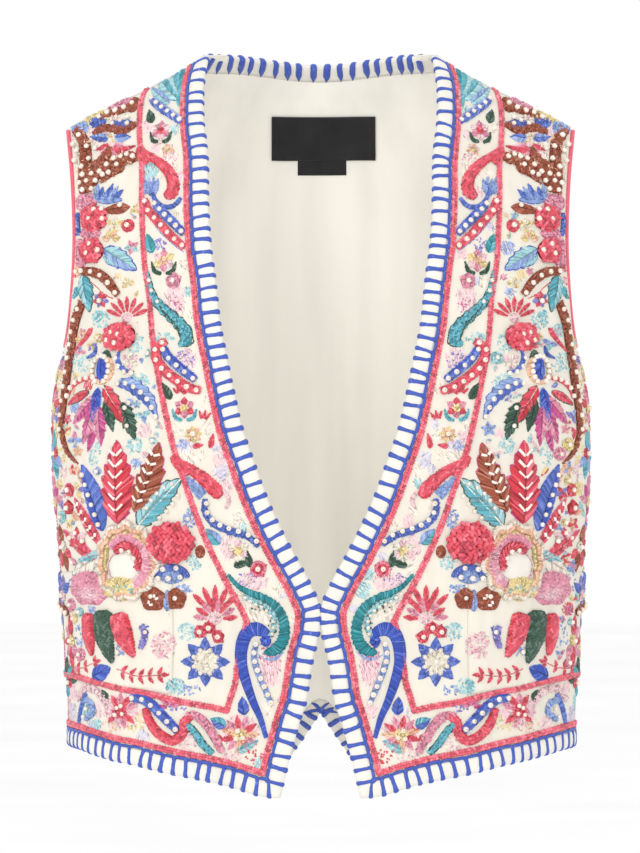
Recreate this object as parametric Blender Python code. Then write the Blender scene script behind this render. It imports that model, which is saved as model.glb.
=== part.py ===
"""Embroidered waistcoat on its worn, hollow form: two fronts, back, lining, bound edges and raised work."""
import math

import bmesh
import bpy
import numpy as np

# Sizes are in millimetres. Drop is measured down from the top of the shoulders, girth round from centre.
MM = 0.001
SECTION_POWER = 2.3
HALF_WIDTH = ((-60, 196), (120, 196), (140, 194.5), (160, 191), (173, 188), (185, 184.8), (195, 182.6),
              (203, 181.6), (210, 182), (222, 184.5), (235, 187.5), (262, 190), (280, 190.5), (306, 189.5), (334, 187), (366, 184.5), (385, 182.3), (405, 180.5),
              (445, 179.2), (540, 179))
FRONT_DEPTH = ((-60, 118), (200, 118), (260, 120), (330, 116), (400, 110), (460, 107), (540, 108))
BACK_DEPTH = ((-60, 102), (150, 104), (230, 101), (300, 96), (380, 90), (440, 89), (540, 93))
CREST = ((0, -37), (20, -33), (40, -22), (60, -10), (80, 1), (100, 12.5), (125, 26), (150, 38), (180, 53.5),
         (200, 66))
FRONT_ROUND = (200, 1.5)
BACK_ROUND = (145, 1.6)
NECK_EDGE = ((1, 80), (19, 83), (47, 83.2), (75, 80), (111, 79), (138, 77), (165, 73.4), (191, 70.6),
             (218, 65.3), (244, 59.8), (266, 54.6), (291, 45.9), (311, 38.7), (331, 30), (350, 20.4),
             (375, 6.9), (391, 0.6), (400, 0.4))
LOWER_EDGE = ((400, 0.4), (412, 2.1), (422, 4.8), (439, 7.9), (458, 11), (468, 14.5), (485, 19.3),
              (495, 22.1), (522, 28.2))
FRONT_HEM = ((28.2, 522), (42.5, 520.4), (58.5, 515.5), (80, 510.3), (106.5, 505.5), (125.5, 501),
             (147, 497.5), (161, 494.4), (170.6, 492), (179.2, 490.5))
BACK_HEM = ((0, 471.4), (13, 491), (26, 510), (45, 509.5), (80, 507), (130, 500), (179.2, 490.5))
BACK_NECK = ((0, 5), (20, 4), (40, 2), (60, 0.5), (80, 1))
ARMHOLE = ((53.5, 178), (85, 174.5), (107, 173), (138, 172.3), (173, 174.5), (185, 176), (195, 177.7),
           (203, 179.7), (208, 181.3), (210, 182))
TIP_DROP = 400
SHOULDER_TIP_DROP = 53.5
UNDERARM_DROP = 210
SIDE_HEM_DROP = 490.5
NECK_HALF = 80
FRONT_THICK = 1.6
BACK_THICK = 1.4
LINING_THICK = 1.0
SEAT = 0.3
BACK_SEAT = 0.45
LABEL_SEAT = 0.6
NECK_END_LIFT = 0.7
SEAM_HALF = 0.2
UNDERARM_ROW = 0.4
BAND_WIDTH = 10.5
BAND_THICK = 1.3
BRAID_WIDTH = 4
BRAID_THICK = 1.2
OUTER_BRAID_AT = 15.5
INNER_BRAID_AT = 50.5
PIPING_RADIUS = 1.5
POCKET_THICK = 1.2
POCKET_SHARES = (0.795, 0.88)
POCKET_INNER_WIDTH = 102.6
LABEL_THICK = 0.8
LABEL_BOX = ((-36.6, 41), (39, 70.5))
TAB_BOX = ((-17, 19.2), (71, 81.4))
QUARTER = math.pi / 2
COLOURS = (
    ("outer_braid", (222, 80, 95), 0.6),
    ("inner_braid", (222, 80, 95), 0.6),
    ("armhole_piping", (222, 80, 95), 0.6),
    ("edge_band", (236, 232, 220), 0.75),
    ("back_lining", (233, 230, 218), 0.7),
    ("label", (22, 22, 26), 0.6),
    ("flower", (238, 170, 165), 0.6),
    ("bloom", (215, 50, 62), 0.55),
    ("coral_leaf", (218, 62, 92), 0.55),
    ("rust_leaf", (172, 78, 45), 0.6),
    ("turquoise", (95, 185, 190), 0.6),
    ("blue", (52, 88, 185), 0.55),
    ("teal", (40, 160, 170), 0.55),
    ("pink", (225, 150, 172), 0.6),
    ("rosette", (215, 60, 78), 0.55),
    ("berries", (218, 75, 95), 0.55),
    ("pocket_tuft", (190, 70, 75), 0.6),
    ("", (238, 233, 220), 0.8),
)


def clear_scene():
    """Start from an empty scene."""
    for item in list(bpy.data.objects):
        bpy.data.objects.remove(item, do_unlink=True)


def curve(table, value):
    """Smooth curve through a small table of position and value."""
    keys = np.array([row[0] for row in table], dtype=float)
    heights = np.array([row[1] for row in table], dtype=float)
    slopes = np.gradient(heights, keys)
    value = np.clip(np.asarray(value, dtype=float), keys[0], keys[-1])
    i = np.clip(np.searchsorted(keys, value) - 1, 0, len(keys) - 2)
    span = keys[i + 1] - keys[i]
    t = (value - keys[i]) / span
    near = (2 * t ** 3 - 3 * t ** 2 + 1) * heights[i] + (t ** 3 - 2 * t ** 2 + t) * span * slopes[i]
    far = (3 * t ** 2 - 2 * t ** 3) * heights[i + 1] + (t ** 3 - t ** 2) * span * slopes[i + 1]
    return near + far


def shoulder_round(drop, across, shape):
    """How far the cloth has turned from the shoulder crest, 0 on it and 1 below it."""
    height, power = shape
    t = np.clip((drop - curve(CREST, np.abs(across))) / height, 0, 1)
    return (1 - (1 - t) ** power) ** (1 / power)


def hang(theta, drop, side):
    """Soft hollows and swells of the cloth below the chest, in millimetres outward."""
    ramp = np.clip((drop - 230) / 220, 0, 1)
    swell = 1.5 * np.sin(4.2 * theta + 0.6 * side) + 1.0 * np.sin(7.4 * theta + 1.3 * side + 0.006 * drop)
    return ramp * swell * np.sin(theta) ** 2


def skin(theta, drop, side):
    """Outer face of the cloth; theta runs from centre front 0 round to centre back pi."""
    theta, drop = np.broadcast_arrays(np.asarray(theta, dtype=float), np.asarray(drop, dtype=float))
    loose = hang(theta, drop, side)
    spread = np.sign(np.sin(theta)) * np.abs(np.sin(theta)) ** (2 / SECTION_POWER)
    across = (curve(HALF_WIDTH, drop) + loose * np.sin(theta)) * spread
    reach = np.abs(np.cos(theta)) ** (2 / SECTION_POWER)
    front = -(curve(FRONT_DEPTH, drop) + loose) * reach * shoulder_round(drop, across, FRONT_ROUND)
    back = (curve(BACK_DEPTH, drop) + loose) * reach * shoulder_round(drop, across, BACK_ROUND)
    depth = np.where(theta < QUARTER, front, back)
    return np.stack([side * across, depth, -drop], axis=-1)


def outward(theta, drop, side):
    """Unit normal of the outer face."""
    turn = 0.004
    step = 0.5
    round_way = skin(theta + turn, drop, side) - skin(theta - turn, drop, side)
    down_way = skin(theta, drop + step, side) - skin(theta, drop, side)
    normal = np.cross(down_way, round_way) * side
    return normal / np.linalg.norm(normal, axis=-1, keepdims=True)


def theta_of_width(width, drop):
    """Section angle at which the cloth stands a given half width from the centre."""
    share = np.clip(np.asarray(width, dtype=float) / curve(HALF_WIDTH, drop), 0, 1)
    return np.arcsin(share ** (SECTION_POWER / 2))


def girth_table(drop, side):
    """Angles and the distance round the front section at each drop."""
    angles = np.linspace(0, QUARTER, 91)
    drop = np.atleast_1d(np.asarray(drop, dtype=float))
    points = skin(angles[None, :], drop[:, None], side)
    steps = np.linalg.norm(np.diff(points, axis=1), axis=-1)
    rounds = np.concatenate([np.zeros((len(drop), 1)), np.cumsum(steps, axis=1)], axis=1)
    return angles, rounds


def girth_of(theta, drop, side):
    """Distance round from centre front of points given by angle."""
    angles, rounds = girth_table(drop, side)
    theta = np.atleast_1d(theta)
    return np.array([np.interp(theta[k], angles, rounds[k]) for k in range(len(rounds))])


def theta_of_girth(girth, drop, side):
    """Angle of points given by their distance round from centre front."""
    angles, rounds = girth_table(drop, side)
    girth = np.atleast_1d(girth)
    return np.array([np.interp(girth[k], rounds[k], angles) for k in range(len(rounds))])


def material(name, colour, roughness):
    """Plain cloth or thread material from a colour in 0 to 255 steps."""
    look = bpy.data.materials.new(name)
    look.use_nodes = True
    shader = look.node_tree.nodes["Principled BSDF"]
    linear = [(c / 255) ** 2.2 for c in colour]
    shader.inputs["Base Color"].default_value = (*linear, 1)
    shader.inputs["Roughness"].default_value = roughness
    shader.inputs["Metallic"].default_value = 0
    return look


def look_of(name):
    """Colour and roughness of a piece by the first word of its name that the table knows."""
    for start, colour, roughness in COLOURS:
        if name.startswith(start):
            return colour, roughness
    return COLOURS[-1][1:]


def add_solid(name, points, faces):
    """Make one closed solid, with its own material, from points in millimetres."""
    shape = bmesh.new()
    corners = [shape.verts.new([float(v) * MM for v in point]) for point in points]
    for face in faces:
        shape.faces.new([corners[k] for k in face])
    bmesh.ops.recalc_face_normals(shape, faces=shape.faces)
    mesh = bpy.data.meshes.new(name)
    shape.to_mesh(mesh)
    shape.free()
    mesh.shade_smooth()
    mesh.set_sharp_from_angle(angle=math.radians(50))
    colour, roughness = look_of(name)
    mesh.materials.append(material(name + "_material", colour, roughness))
    solid = bpy.data.objects.new(name, mesh)
    bpy.context.scene.collection.objects.link(solid)
    return solid


def wall(name, outer, inner):
    """Thin wall between two matching grids of points."""
    rows, columns = outer.shape[:2]
    points = np.concatenate([outer.reshape(-1, 3), inner.reshape(-1, 3)])
    under = rows * columns
    faces = []
    for r in range(rows - 1):
        for c in range(columns - 1):
            a = r * columns + c
            b = a + 1
            d = a + columns
            e = d + 1
            faces.append((a, b, e, d))
            faces.append((under + a, under + d, under + e, under + b))
    rim = [c for c in range(columns)]
    rim += [r * columns + columns - 1 for r in range(1, rows)]
    rim += [(rows - 1) * columns + c for c in range(columns - 2, -1, -1)]
    rim += [r * columns for r in range(rows - 2, 0, -1)]
    for k, a in enumerate(rim):
        b = rim[(k + 1) % len(rim)]
        faces.append((a, under + a, under + b, b))
    return add_solid(name, points, faces)


def tube(name, rings, closed):
    """Solid swept through matching rings of section points."""
    count, around = rings.shape[:2]
    points = rings.reshape(-1, 3)
    faces = []
    for k in range(count if closed else count - 1):
        nxt = (k + 1) % count
        for c in range(around):
            d = (c + 1) % around
            faces.append((k * around + c, k * around + d, nxt * around + d, nxt * around + c))
    if not closed:
        faces.append(tuple(range(around - 1, -1, -1)))
        faces.append(tuple((count - 1) * around + c for c in range(around)))
    return add_solid(name, points, faces)


def row_shares():
    """Shares of the height at which the panel rows lie, closer together over the shoulder."""
    upper = np.concatenate([[0, 0.006, 0.018, 0.035, 0.06], np.linspace(0.09, 0.355, 8)])
    return np.concatenate([upper, [0.382, UNDERARM_ROW], np.linspace(UNDERARM_ROW, 1, 15)[1:]])


def side_drop(share):
    """Drop of the armhole and side seam at a share of the height."""
    share = np.asarray(share, dtype=float)
    part = np.clip(share / UNDERARM_ROW, 0, 1)
    fall = 0.45 * part + 0.55 * np.sin(part * QUARTER)
    low = np.clip((share - UNDERARM_ROW) / (1 - UNDERARM_ROW), 0, 1)
    upper = SHOULDER_TIP_DROP + (UNDERARM_DROP - SHOULDER_TIP_DROP) * fall
    return upper + (SIDE_HEM_DROP - UNDERARM_DROP) * low


def side_theta(share):
    """Angle of the armhole and side seam at a share of the height."""
    drop = side_drop(share)
    on_armhole = theta_of_width(curve(ARMHOLE, drop), drop)
    return np.where(np.asarray(share) < UNDERARM_ROW - 1e-6, on_armhole, QUARTER)


def edge_width(drop):
    """Half distance between the fronts at a drop."""
    return np.where(drop < TIP_DROP, curve(NECK_EDGE, drop), curve(LOWER_EDGE, drop))


def front_grid(side):
    """Angles and drops of the front panel's grid, rows from the shoulder down."""
    shares = row_shares()
    across = np.linspace(0, 1, 15)
    edge_drop = 1 + shares * 521
    start = theta_of_width(edge_width(edge_drop), edge_drop)
    theta = start[:, None] + (side_theta(shares) - start)[:, None] * across[None, :]
    seam = side_drop(shares)
    drop = edge_drop[:, None] + (seam - edge_drop)[:, None] * across[None, :]
    top = curve(CREST, curve(HALF_WIDTH, 30) * np.sin(theta[0]) ** (2 / SECTION_POWER)) - drop[0]
    hem = curve(FRONT_HEM, curve(HALF_WIDTH, 505) * np.sin(theta[-1]) ** (2 / SECTION_POWER)) - drop[-1]
    return theta, drop + (1 - shares)[:, None] * top[None, :] + shares[:, None] * hem[None, :]


def settle_seams(points, side, front):
    """Pull the shoulder row and side column back to half the seam gap."""
    sign = -1 if front else 1
    points[0, :, 1] = sign * SEAM_HALF
    points[:, -1, 1] = np.where(sign * points[:, -1, 1] < SEAM_HALF, sign * SEAM_HALF, points[:, -1, 1])
    return points


def inner_face(outer, normals, depth):
    """Inner face of a wall, with plain edges along the shoulder row and side column."""
    inner = outer - normals * depth
    inner[0, :, 1] = outer[0, :, 1]
    inner[0, :, 2] = outer[0, :, 2] - depth
    low = np.abs(outer[:, -1, 1]) <= SEAM_HALF + 1e-6
    inner[low, -1, 1] = outer[low, -1, 1]
    return inner


def front_panel(side, name):
    """Front cut in one piece from shoulder to hem."""
    theta, drop = front_grid(side)
    outer = settle_seams(skin(theta, drop, side), side, True)
    wall(name, outer, inner_face(outer, outward(theta, drop, side), FRONT_THICK))


def back_columns():
    """Shares across half the back, with columns on the neck point and the hem notch."""
    on_crest = np.array([0, 10.5, 21, 40, 60, 80, 97, 114, 131, 148, 163, 178])
    angles = theta_of_width(on_crest, SHOULDER_TIP_DROP)
    return angles / angles[-1]


def back_half(side):
    """Angles and drops of one half of the back, from the centre out to the side."""
    shares = row_shares()
    columns = back_columns()
    theta = math.pi - side_theta(shares)[:, None] * columns[None, :]
    top_width = curve(HALF_WIDTH, 0) * np.sin(theta[0]) ** (2 / SECTION_POWER)
    hem_width = curve(HALF_WIDTH, 505) * np.sin(theta[-1]) ** (2 / SECTION_POWER)
    top = np.where(top_width < NECK_HALF, curve(BACK_NECK, top_width), curve(CREST, top_width))
    hem = np.interp(hem_width, [r[0] for r in BACK_HEM], [r[1] for r in BACK_HEM])
    seam = side_drop(shares)
    middle = top[0] + shares * (hem[0] - top[0])
    drop = middle[:, None] + (seam - middle)[:, None] * columns[None, :]
    drop = drop + (1 - shares)[:, None] * (top - drop[0])[None, :]
    drop = drop + shares[:, None] * (hem - drop[-1])[None, :]
    return theta, drop


def back_faces(depth_out, depth_in):
    """Outer and inner faces of the whole back at two depths under the skin."""
    halves = []
    for side in (-1, 1):
        theta, drop = back_half(side)
        face = skin(theta, drop, side)
        normals = outward(theta, drop, side)
        on_seam = back_columns() * 0 + 1
        on_seam[:6] = 0
        face[0, 6:, 1] = SEAM_HALF
        normals[0, 5:] = (0, 0, 1)
        face[:, -1, 1] = np.maximum(face[:, -1, 1], SEAM_HALF)
        straight = face[:, -1, 1] <= SEAM_HALF + 1e-6
        normals[straight, -1] = (side, 0, 0)
        pair = [face - normals * depth_out, face - normals * depth_in]
        halves.append(pair)
    joined = []
    for k in (0, 1):
        left = halves[0][k][:, ::-1]
        right = halves[1][k]
        joined.append(np.concatenate([left, right[:, 1:]], axis=1))
    return joined


def back_panel():
    """Back cut in one piece with a notch at the hem."""
    outer, inner = back_faces(0, BACK_THICK)
    wall("back", outer, inner)


def back_lining():
    """Lining that shows inside the back."""
    outer, inner = back_faces(BACK_THICK + SEAT, BACK_THICK + SEAT + LINING_THICK)
    wall("back_lining", outer[1:-1, 1:-1], inner[1:-1, 1:-1])


def line_meet(first, second):
    """Where two plane lines of points cross: place on each and the point."""
    for i in range(len(first) - 1):
        for k in range(len(second) - 1):
            a, b = first[i], first[i + 1]
            c, d = second[k], second[k + 1]
            ab = b - a
            cd = d - c
            cross = ab[0] * cd[1] - ab[1] * cd[0]
            if abs(cross) < 1e-9:
                continue
            t = ((c[0] - a[0]) * cd[1] - (c[1] - a[1]) * cd[0]) / cross
            s = ((c[0] - a[0]) * ab[1] - (c[1] - a[1]) * ab[0]) / cross
            if 0 <= t <= 1 and 0 <= s <= 1:
                return i, k, a + ab * t
    return None


def shifted(line, distance):
    """Plane line moved inwards from the edge by a distance."""
    way = np.gradient(line, axis=0)
    way /= np.linalg.norm(way, axis=1, keepdims=True)
    return line + distance * np.stack([way[:, 1], -way[:, 0]], axis=1)


def front_edge_line(side, distance):
    """Neck, front edge and hem of a front, drawn a distance inside them, in girth and drop."""
    drops = np.linspace(-40, TIP_DROP, 60)
    girths = girth_of(theta_of_width(edge_width(np.maximum(drops, 1)), np.maximum(drops, 1)), drops, side)
    girths[drops < 1] = girths[drops >= 1][0]
    neck = np.stack([girths, drops], axis=1)
    drops = np.linspace(TIP_DROP, 522, 24)
    lower = np.stack([girth_of(theta_of_width(edge_width(drops), drops), drops, side), drops], axis=1)
    widths = np.linspace(28.2, 179, 40)
    drops = curve(FRONT_HEM, widths)
    hem = np.stack([girth_of(theta_of_width(widths, drops), drops, side), drops], axis=1)
    ends = []
    for leg in (neck, lower, hem):
        leg = shifted(leg, distance)
        first = leg[0] - (leg[1] - leg[0]) * 40
        last = leg[-1] + (leg[-1] - leg[-2]) * 40
        ends.append(np.concatenate([[first], leg, [last]]))
    neck, lower, hem = ends
    i, k, tip = line_meet(neck, lower)
    neck = np.concatenate([neck[1:i + 1], [tip]])
    lower = np.concatenate([[tip], lower[k + 1:]])
    i, k, corner = line_meet(lower, hem)
    lower = np.concatenate([lower[:i + 1], [corner]])
    hem = np.concatenate([[corner], hem[k + 1:]])
    return neck, lower, hem


def front_lines(side):
    """Rows and columns of the front panel in girth and drop."""
    theta, drop = front_grid(side)
    girth = girth_of(theta.ravel(), drop.ravel(), side).reshape(theta.shape)
    rows = [np.stack([girth[r], drop[r]], axis=1) for r in range(len(girth))]
    columns = [np.stack([girth[:, c], drop[:, c]], axis=1) for c in range(girth.shape[1])]
    return rows, columns


def front_stations(side, distances):
    """Matching stations on lines inside a front's edges, where the panel's rows and columns cross them."""
    rows, columns = front_lines(side)
    found = []
    for distance in distances:
        neck, lower, hem = front_edge_line(side, distance)
        on_neck = [line_meet(neck, row) for row in rows]
        on_lower = [line_meet(lower, row) for row in rows]
        on_hem = [line_meet(hem, column) for column in columns]
        found.append((neck, lower, hem, on_neck, on_lower, on_hem))
    lines = []
    for neck, lower, hem, on_neck, on_lower, on_hem in found:
        line = []
        for k in range(len(rows)):
            if all(other[3][k] is not None for other in found):
                line.append(on_neck[k][2])
        line[0] = line[0] + np.array([0, 0.3])
        line.append(neck[-1])
        for k in range(len(rows)):
            if all(other[4][k] is not None for other in found):
                line.append(on_lower[k][2])
        line.append(lower[-1])
        for k in range(len(columns)):
            if all(other[5][k] is not None for other in found):
                line.append(on_hem[k][2])
        line[-1] = line[-1] - np.array([SEAM_HALF + 0.2, 0])
        lines.append(np.array(line))
    return lines


def on_front(flat, side, height):
    """Points of a front at a height above the skin, from girth and drop."""
    theta = theta_of_girth(flat[:, 0], flat[:, 1], side)
    return skin(theta, flat[:, 1], side) + outward(theta, flat[:, 1], side) * height


def front_strip(name, side, middle, width, height):
    """Strip lying on a front at a distance from its edges, crowned along the middle."""
    shoulder = 0.55 * height
    distances = (middle - width / 2, middle, middle + width / 2)
    near_line, mid_line, far_line = front_stations(side, distances)
    rings = [on_front(near_line, side, SEAT), on_front(near_line, side, SEAT + shoulder),
             on_front(mid_line, side, SEAT + height), on_front(far_line, side, SEAT + shoulder),
             on_front(far_line, side, SEAT)]
    tube(name, np.stack(rings, axis=1), False)


def back_strip(name, at_neck):
    """Bound edge on the outside of the back, along its neck or its hem."""
    lifts = ((0.4, 0), (0.4, 0.55 * BAND_THICK), (5.4, BAND_THICK), (BAND_WIDTH, 0.55 * BAND_THICK),
             (BAND_WIDTH, 0), (5.4, 0))
    stations = []
    for side in (-1, 1):
        theta, drop = back_half(side)
        if not at_neck:
            theta, drop = theta[::-1], drop[::-1]
        count = 6 if at_neck else theta.shape[1]
        points = skin(theta, drop, side)
        edge = points[0]
        half = []
        for c in range(count):
            near = max(c - 1, 0)
            far = min(c + 1, count - 1)
            run = edge[far] - edge[near]
            run = run / np.linalg.norm(run)
            down = points[1, c] - points[0, c]
            down = down / np.linalg.norm(down)
            slant = 1 / math.sqrt(1 - min(np.dot(run, down) ** 2, 0.7))
            if c == 0:
                slant = 1 / math.cos(math.atan(1.5)) if not at_neck else 1
            along = np.concatenate([[0], np.cumsum(np.linalg.norm(np.diff(points[:, c], axis=0), axis=1))])
            ring = []
            seat = BACK_SEAT + (NECK_END_LIFT if at_neck and c >= 4 else 0)
            for distance, lift in lifts:
                angle = np.interp(distance * slant, along, theta[:, c])
                level = np.interp(distance * slant, along, drop[:, c])
                point = skin(angle, level, side) + outward(angle, level, side) * (seat + lift)
                if c == theta.shape[1] - 1:
                    point[1] = SEAM_HALF + 0.2
                ring.append(point)
            half.append(ring)
        if at_neck:
            half[-1] = [point + np.array([0, 0.8, 0]) for point in half[-1]]
        stations.append(half)
    rings = np.array(stations[0][::-1] + stations[1][1:])
    tube(name, rings, False)


def armhole_piping(name, side):
    """Cord sewn all round the armhole, just outside both panels' edges."""
    count = int(np.sum(row_shares() <= UNDERARM_ROW + 1e-6))
    front_theta, front_drop = front_grid(side)
    back_theta, back_drop = back_half(side)
    theta = np.concatenate([front_theta[:count, -1], back_theta[:count, -1][-2:0:-1]])
    drop = np.concatenate([front_drop[:count, -1], back_drop[:count, -1][-2:0:-1]])
    edge = skin(theta, drop, side)
    normal = outward(theta, drop, side)
    normal[0] = (0.35 * side, 0, 0.94)
    normal[count - 1] = (side, 0, 0)
    along = np.roll(edge, -1, axis=0) - np.roll(edge, 1, axis=0)
    along /= np.linalg.norm(along, axis=1, keepdims=True)
    normal -= along * np.sum(normal * along, axis=1, keepdims=True)
    normal /= np.linalg.norm(normal, axis=1, keepdims=True)
    away = np.cross(normal, along) * side
    centre = edge - normal * FRONT_THICK / 2 + away * (SEAT + PIPING_RADIUS)
    rings = []
    for k in range(6):
        turn = math.pi / 6 + k * math.pi / 3
        rings.append(centre + PIPING_RADIUS * (math.cos(turn) * away + math.sin(turn) * normal))
    tube(name, np.stack(rings, axis=1), True)


def sample(grid, row_places, column_places):
    """Points between the points of a grid, at fractional rows and columns."""
    row_places = np.clip(np.asarray(row_places, dtype=float), 0, grid.shape[0] - 1)
    column_places = np.clip(np.asarray(column_places, dtype=float), 0, grid.shape[1] - 1)
    r = np.minimum(row_places.astype(int), grid.shape[0] - 2)
    c = np.minimum(column_places.astype(int), grid.shape[1] - 2)
    dr = (row_places - r)[:, None, None]
    dc = (column_places - c)[None, :, None]
    upper = grid[r][:, c] * (1 - dc) + grid[r][:, c + 1] * dc
    lower = grid[r + 1][:, c] * (1 - dc) + grid[r + 1][:, c + 1] * dc
    return upper * (1 - dr) + lower * dr


def between(first, last):
    """Both ends and every whole number between them."""
    whole = [k for k in range(math.ceil(first + 0.15), math.floor(last - 0.15) + 1)]
    return [first] + whole + [last]


def pocket(name, side):
    """Pocket patch laid on a front, from its inner edge round to the side seam."""
    theta, drop = front_grid(side)
    outer = settle_seams(skin(theta, drop, side), side, True)
    normal = outward(theta, drop, side)
    shares = row_shares()
    first = float(np.interp(POCKET_SHARES[0], shares, np.arange(len(shares))))
    last = float(np.interp(POCKET_SHARES[1], shares, np.arange(len(shares))))
    row = outer[int(first)]
    inner_place = float(np.interp(POCKET_INNER_WIDTH, np.abs(row[:, 0]), np.arange(len(row))))
    rows = between(first, last)
    columns = between(inner_place, outer.shape[1] - 1.02)
    skin_points = sample(outer, rows, columns)
    lift = sample(normal, rows, columns)
    wall(name, skin_points + lift * (SEAT + POCKET_THICK), skin_points + lift * SEAT)


def label(name, box):
    """Bare label sewn flat to the inside of the back."""
    under = BACK_THICK + SEAT + LINING_THICK
    face, deeper = back_faces(under, under + 1)
    inward = deeper - face
    inward /= np.linalg.norm(inward, axis=-1, keepdims=True)
    centre = face.shape[1] // 2
    (left, right), (top, bottom) = box
    drops = -face[:, centre, 2]
    rows = between(float(np.interp(top, drops, np.arange(len(drops)))),
                   float(np.interp(bottom, drops, np.arange(len(drops)))))
    widths = face[int(rows[0]), :, 0]
    columns = between(float(np.interp(left, widths, np.arange(len(widths)))),
                      float(np.interp(right, widths, np.arange(len(widths)))))
    points = sample(face, rows, columns)
    lift = sample(inward, rows, columns)
    wall(name, points + lift * (LABEL_SEAT + LABEL_THICK), points + lift * LABEL_SEAT)


def flat_place(width, drop, side):
    """Girth and drop of a place given by its half width and drop."""
    return np.array([float(girth_of(theta_of_width(width, drop), drop, side)[0]), float(drop)])


def raised_patch(name, side, width, drop, size, lean, lobes, height, under=0.0):
    """Padded patch of heavy stitching: an oval, leaf or lobed flower domed above the front."""
    middle = flat_place(width, drop, side)
    half_width, half_height = size
    turns = np.arange(12) * math.pi / 6
    edge = 1 + lobes * np.cos(4 * turns)
    x = half_width * edge * np.sin(turns)
    y = -half_height * edge * np.cos(turns)
    tilt = math.radians(lean)
    outline = np.stack([x * math.cos(tilt) - y * math.sin(tilt), x * math.sin(tilt) + y * math.cos(tilt)], axis=1)
    base = SEAT + under
    top = ((1.0, 0.45), (0.66, 0.85), (0.3, 1.0))
    low = (1.0, 0.66, 0.33)
    points = []
    for share, rise in top:
        points.extend(on_front(middle + outline * share, side, base + height * rise))
    points.append(on_front(middle[None, :], side, base + height)[0])
    for share in low:
        points.extend(on_front(middle + outline * share, side, base))
    points.append(on_front(middle[None, :], side, base)[0])
    count = len(turns)
    hub = 3 * count
    start = hub + 1
    low_hub = start + 3 * count
    faces = []
    for k in range(count):
        n = (k + 1) % count
        for ring in (0, 1):
            a = ring * count
            faces.append((a + k, a + n, a + count + n, a + count + k))
            b = start + a
            faces.append((b + n, b + k, b + count + k, b + count + n))
        faces.append((2 * count + k, 2 * count + n, hub))
        faces.append((start + 2 * count + n, start + 2 * count + k, low_hub))
        faces.append((n, k, start + k, start + n))
    add_solid(name, points, faces)


def raised_rope(name, side, places, width, height):
    """Padded rope of heavy stitching along a curve of places, thin at both ends."""
    flat = np.array([flat_place(w, d, side) for w, d in places])
    share = np.linspace(0, 1, len(flat))
    fine = np.linspace(0, 1, 3 * len(flat) - 2)
    line = np.stack([curve(np.stack([share, flat[:, 0]], axis=1), fine),
                     curve(np.stack([share, flat[:, 1]], axis=1), fine)], axis=1)
    way = np.gradient(line, axis=0)
    way /= np.linalg.norm(way, axis=1, keepdims=True)
    across = np.stack([way[:, 1], -way[:, 0]], axis=1)
    half = width / 2 * (0.45 + 0.55 * np.sin(np.pi * np.clip(fine, 0.04, 0.96)) ** 0.6)
    near_line = line - across * half[:, None]
    far_line = line + across * half[:, None]
    rings = [on_front(near_line, side, SEAT), on_front(near_line, side, SEAT + 0.5 * height),
             on_front(line, side, SEAT + height), on_front(far_line, side, SEAT + 0.5 * height),
             on_front(far_line, side, SEAT)]
    tube(name, np.stack(rings, axis=1), False)


# Raised work: name, half width, drop, half sizes, lean in degrees, lobes, height.
PATCHES = (
    ("flower", 133, 360, (21, 26), 0, 0.05, 3.0),
    ("bloom", 102, 345, (15.5, 13), 0, 0.04, 3.8),
    ("coral_leaf", 143, 300, (9.5, 27), 4, -0.12, 2.4),
    ("rust_leaf", 119, 298, (8, 24), -27, -0.12, 2.2),
    ("turquoise_leaf", 109, 322, (6.5, 15.5), -48, -0.12, 2.0),
    ("blue_leaf", 161, 311, (6.5, 21), 18, -0.12, 2.2),
    ("pink_leaf", 162, 378, (9, 11.5), 30, 0.03, 2.4),
    ("rosette", 138, 203, (12, 10.5), 0, 0.05, 3.2),
    ("berries", 154, 134, (8.5, 18), 0, 0.1, 2.4),
)
PATCH_ON_POCKET = ("pocket_tuft", 147, 411, (17, 13), 0, 0.05, 2.2)
ROPES = (
    ("teal_paisley", ((56, 376), (46, 381), (34, 390), (26, 403), (27, 417), (35, 422)), 8, 2.4),
    ("blue_paisley", ((36, 409), (42, 409), (46.5, 420), (46, 438), (44, 455), (43, 470)), 8, 2.4),
)


def main():
    """Build every piece."""
    clear_scene()
    back_panel()
    back_lining()
    back_strip("back_neck_band", True)
    back_strip("back_hem_band", False)
    label("label", LABEL_BOX)
    label("label_tab", TAB_BOX)
    for side, word in ((-1, "left"), (1, "right")):
        front_panel(side, "front_" + word)
        band_middle = (BAND_WIDTH + 0.4) / 2
        front_strip("edge_band_" + word, side, band_middle, BAND_WIDTH - 0.4, BAND_THICK)
        front_strip("outer_braid_" + word, side, OUTER_BRAID_AT, BRAID_WIDTH, BRAID_THICK)
        front_strip("inner_braid_" + word, side, INNER_BRAID_AT, BRAID_WIDTH, BRAID_THICK)
        armhole_piping("armhole_piping_" + word, side)
        pocket("pocket_" + word, side)
        for title, width, drop, size, lean, lobes, height in PATCHES:
            raised_patch(title + "_" + word, side, width, drop, size, lean, lobes, height)
        title, width, drop, size, lean, lobes, height = PATCH_ON_POCKET
        raised_patch(title + "_" + word, side, width, drop, size, lean, lobes, height, POCKET_THICK + SEAT)
        for title, places, width, height in ROPES:
            raised_rope(title + "_" + word, side, places, width, height)


main()
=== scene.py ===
"""Looks of the embroidered waistcoat: cloth, bound edges, braids, stitched motifs and pearls."""
import math

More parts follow.
